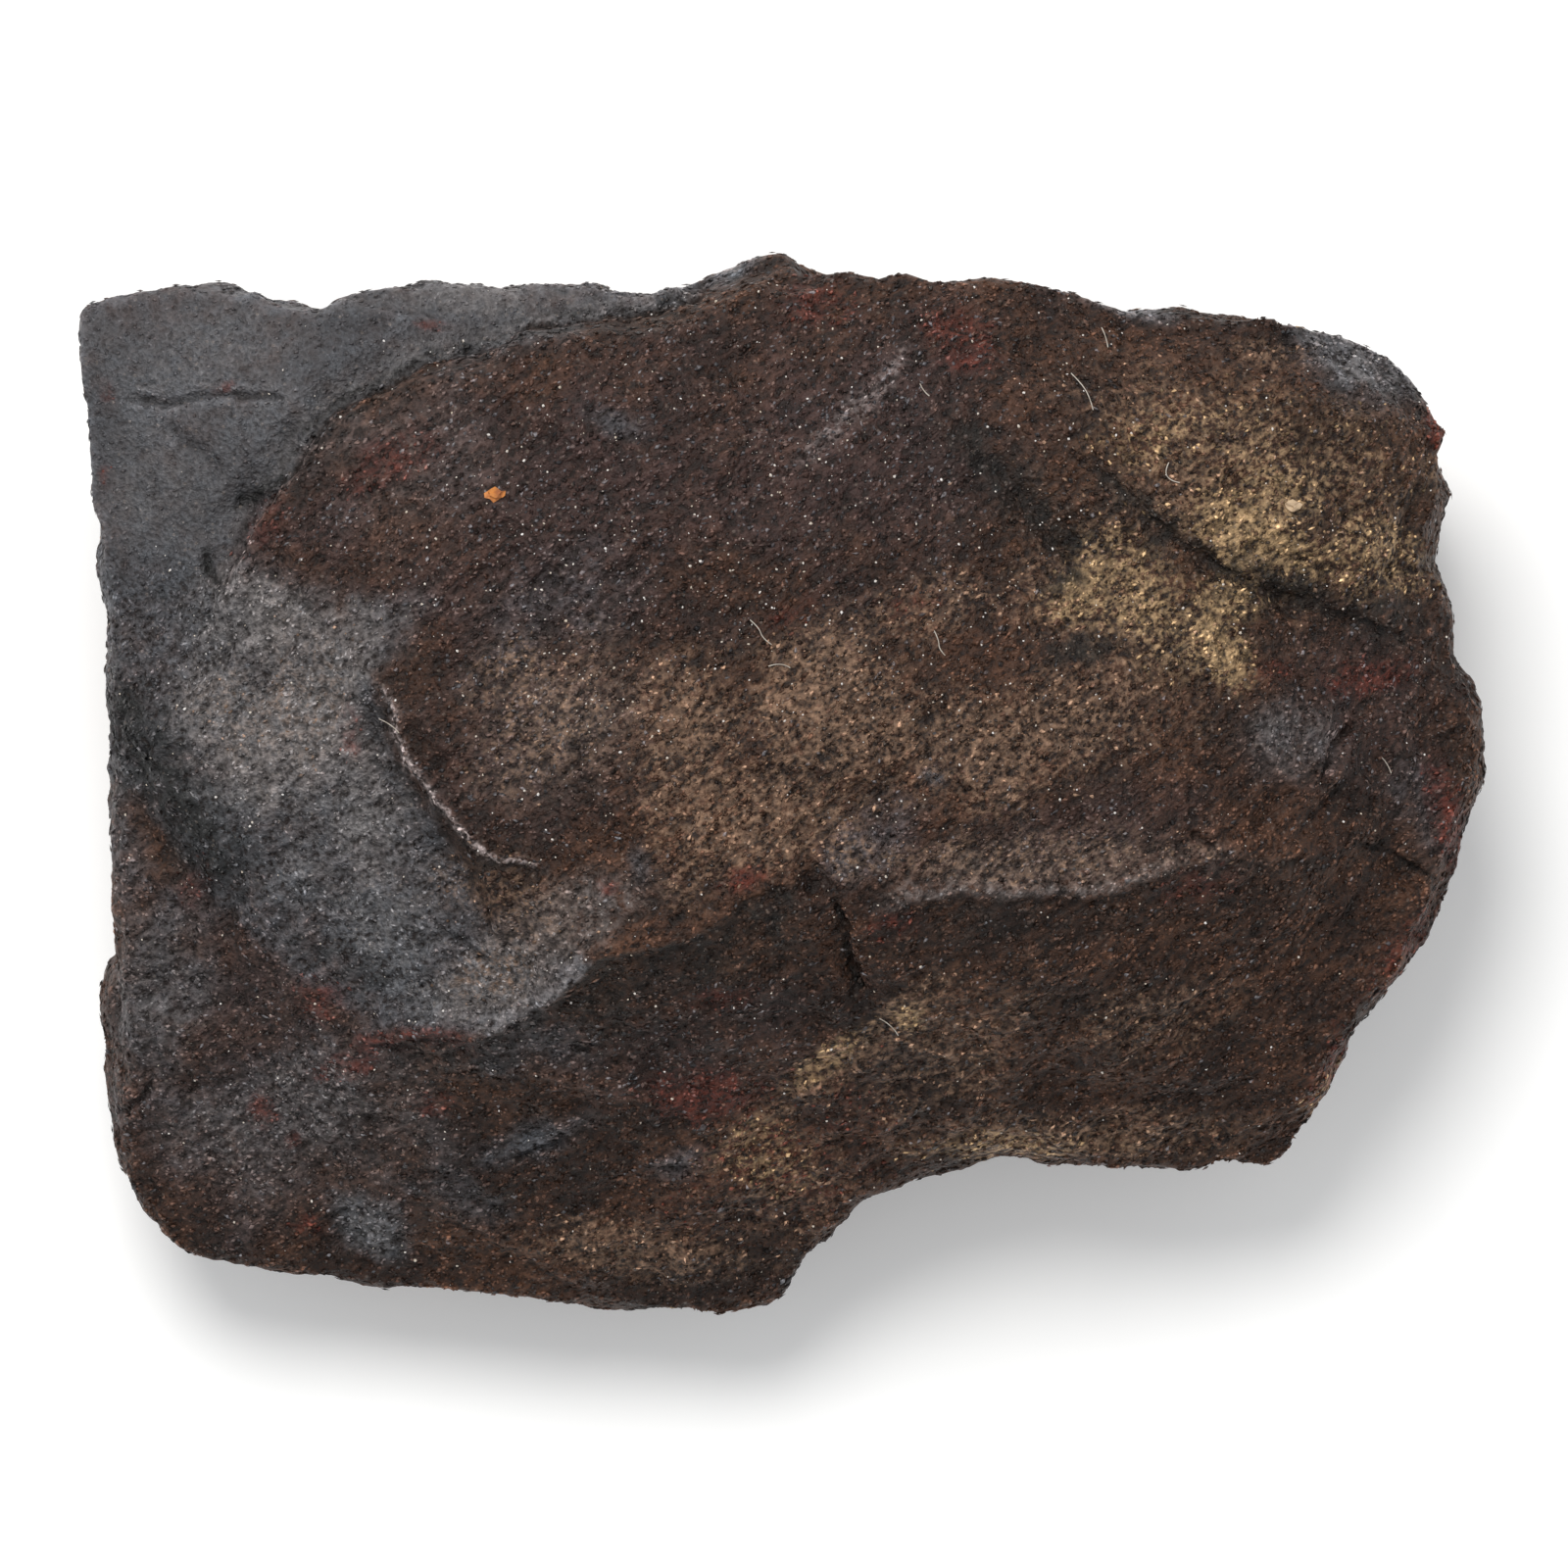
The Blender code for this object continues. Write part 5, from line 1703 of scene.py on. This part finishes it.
@dataclass
class SurfaceDirt:
    """The lint fibres, the orange fleck and the beige chip that lie on the ore."""

    block: bpy.types.Object
    thickness: float = 0.035
    fleck_place: Place = (-18.7, 18.7)
    fleck_size: float = 1.2
    chip_place: Place = (33.0, 18.0)
    chip_size: float = 1.0
    lint: GrainFinish = GrainFinish("lint", (0.50, 0.46, 0.40), (0.36, 0.31, 0.26), 0.7)
    fleck: GrainFinish = GrainFinish("fleck", (0.55, 0.20, 0.04), (0.30, 0.10, 0.03), 0.6)
    chip: GrainFinish = GrainFinish("chip", (0.52, 0.38, 0.24), (0.40, 0.28, 0.18), 0.6)

    def height_at(self, place: Place) -> float:
        """Find how high the skin stands.

        Args:
            place: A place seen from above.

        Returns:
            The height there, in millimetres.
        """
        points = read_points(self.block.data)
        near = np.hypot(points[:, 0] - place[0], points[:, 1] - place[1]) < 0.45
        return float(points[near, 2].max())

    def model_fibre(self, fibre: Fibre, index: int) -> bpy.types.Object:
        """Draw one fibre as a thin bent tube and turn it into a mesh.

        Args:
            fibre: The fibre.
            index: Its number.

        Returns:
            The fibre's object.
        """
        deselect_all()
        bpy.ops.curve.primitive_nurbs_path_add(location=(0, 0, 0))
        path = bpy.context.view_layer.objects.active
        curve = path.data
        curve.splines.clear()
        spline = curve.splines.new("NURBS")
        spline.points.add(len(fibre.path) - 1)
        for point, (x, y) in zip(spline.points, fibre.path):
            point.co = (x * MM, y * MM, (self.height_at((x, y)) + fibre.lift) * MM, 1.0)
        spline.use_endpoint_u = True
        spline.order_u = 3
        curve.bevel_depth = self.thickness * MM
        curve.bevel_resolution = 1
        curve.resolution_u = 6
        curve.use_fill_caps = True
        bpy.ops.object.convert(target="MESH")
        path.name = f"lint_{index}"
        return path

    def model_lint(self) -> bpy.types.Object:
        """Make the lint fibres.

        Returns:
            The piece that they are joined into.
        """
        fibres = [self.model_fibre(fibre, index) for index, fibre in enumerate(FIBRES)]
        select_only(fibres[0])
        for fibre in fibres:
            fibre.select_set(True)
        bpy.ops.object.join()
        lint = bpy.context.view_layer.objects.active
        lint.name = lint.data.name = "lint_fibres"
        lint.data.materials.clear()
        lint.data.materials.append(self.lint.build())
        return lint

    def model_crumb(
        self, name: str, place: Place, size: float, seed: int, finish: GrainFinish
    ) -> bpy.types.Object:
        """Shape one crumb of dirt: a flattened ball with pushed corners, resting on the skin.

        Args:
            name: The piece's name.
            place: Where it lies, seen from above.
            size: Its length, in millimetres.
            seed: Which shape it gets.
            finish: Its material.

        Returns:
            The piece.
        """
        deselect_all()
        bpy.ops.mesh.primitive_ico_sphere_add(subdivisions=2, radius=0.5 * size * MM, location=(0, 0, 0))
        crumb = bpy.context.view_layer.objects.active
        crumb.name = crumb.data.name = name
        points = read_points(crumb.data)
        rng = np.random.default_rng(seed)
        points *= 1.0 + 0.7 * noise_field(points, 0.5 * size, seed, 2)[:, None]
        points = points * (1.0, 0.7, 0.4) + rng.normal(0.0, 0.05 * size, points.shape)
        points += (*place, self.height_at(place) + 0.12 * size)
        write_points(crumb.data, points)
        crumb.data.materials.append(finish.build())
        return crumb

    def build(self) -> list[bpy.types.Object]:
        """Make the dirt.

        Returns:
            The pieces: the lint as one mesh, the fleck and the chip.
        """
        pieces = [
            self.model_lint(),
            self.model_crumb("orange_fleck", self.fleck_place, self.fleck_size, 31, self.fleck),
            self.model_crumb("beige_chip", self.chip_place, self.chip_size, 32, self.chip),
        ]
        for piece in pieces:
            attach(piece, BODY)
        return pieces


@dataclass
class Studio:
    """A pale floor, a large soft light from the upper left and a camera straight above."""

    lens: float = 500.0
    sensor: float = 36.0
    seen_width: float = 102.4
    seen_height: float = 18.0
    floor_size: float = 6.0
    floor_colour: Colour = (0.93, 0.93, 0.925)
    shadow_lifting_glow: float = 0.12
    key_place: tuple[float, float, float] = (-0.16, 0.42, 0.75)
    key_size: float = 0.46
    key_power: float = 5.9
    key_colour: Colour = (1.0, 0.985, 0.96)
    sky_strength: float = 0.62
    sky_colour: Colour = (0.97, 0.985, 1.0)

    def lay_floor(self) -> None:
        """Lay the floor, almost white, with a faint glow: painted light that lightens its shadows."""
        deselect_all()
        bpy.ops.mesh.primitive_plane_add(size=self.floor_size, location=(0.0, 0.0, 0.0))
        floor = bpy.context.view_layer.objects.active
        floor.name = floor.data.name = "floor"
        material = bpy.data.materials.new("pale_floor")
        material.use_nodes = True
        shader = material.node_tree.nodes["Principled BSDF"]
        shader.inputs["Base Color"].default_value = (*self.floor_colour, 1.0)
        shader.inputs["Roughness"].default_value = 0.9
        shader.inputs["Emission Color"].default_value = (1.0, 1.0, 1.0, 1.0)
        shader.inputs["Emission Strength"].default_value = self.shadow_lifting_glow
        floor.data.materials.append(material)

    def hang_lights(self) -> None:
        """Hang the key light and light the surroundings evenly."""
        bpy.ops.object.light_add(type="AREA", location=self.key_place)
        key = bpy.context.view_layer.objects.active
        key.name = "key_light"
        key.data.shape = "DISK"
        key.data.size = self.key_size
        key.data.energy = self.key_power
        key.data.color = self.key_colour
        key.rotation_euler = Vector(key.location).to_track_quat("Z", "Y").to_euler()
        world = bpy.data.worlds.new("studio")
        world.use_nodes = True
        background = world.node_tree.nodes["Background"]
        background.inputs["Color"].default_value = (*self.sky_colour, 1.0)
        background.inputs["Strength"].default_value = self.sky_strength
        bpy.context.scene.world = world

    def set_camera(self) -> None:
        """Look straight down, with the block's back edge at the top of the picture."""
        height = self.seen_height + self.seen_width * self.lens / self.sensor
        bpy.ops.object.camera_add(location=(0.0, 0.0, height * MM), rotation=(0.0, 0.0, 0.0))
        camera = bpy.context.view_layer.objects.active
        camera.name = "camera"
        camera.data.lens = self.lens
        camera.data.sensor_width = self.sensor
        camera.data.clip_start = 0.01
        bpy.context.scene.camera = camera
        bpy.context.scene.view_settings.view_transform = "Standard"

    def build(self) -> None:
        """Set up the studio."""
        self.lay_floor()
        self.hang_lights()
        self.set_camera()


def main() -> None:
    """Build the ore and its studio, and report each piece."""
    logging.basicConfig(level=logging.INFO, format="%(name)s: %(message)s")
    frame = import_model()
    block = OreBlock(frame["nodes"][NODE], OreFinish(ShaderGroups())).build()
    log.info("ore block: %d faces", len(block.data.polygons))
    grit = ((0.18, 0.34), (0.12, 0.21), (0.14, 0.26))
    flakes = ((0.4, 0.75), (0.3, 0.55), (0.07, 0.13))
    crusts = (
        GrainCrust(block, "crust_grains", 24_000, 21),
        GrainCrust(block, "crust_grains_over", 22_000, 22),
        GrainCrust(block, "crust_grit", 24_500, 23, *grit),
        GrainCrust(block, "side_grains", 20_000, 24, *flakes, lean=0.08, on_sides=True),
    )
    for crust in crusts:
        log.info("%s: %d faces", crust.name, len(crust.build().data.polygons))
    dirt = SurfaceDirt(block).build()
    log.info("lint, fleck and chip: %d pieces", len(dirt))
    bright = GrainFinish("bright_grain", (0.75, 0.72, 0.70), (0.55, 0.47, 0.38), 0.3)
    glints = GlintGrains(block, bright, "glint_crystals", 2600, (0.05, 0.23), 7).build()
    log.info("glint crystals: %d faces", len(glints.data.polygons))
    Studio().build()


if __name__ == "__main__":
    main()
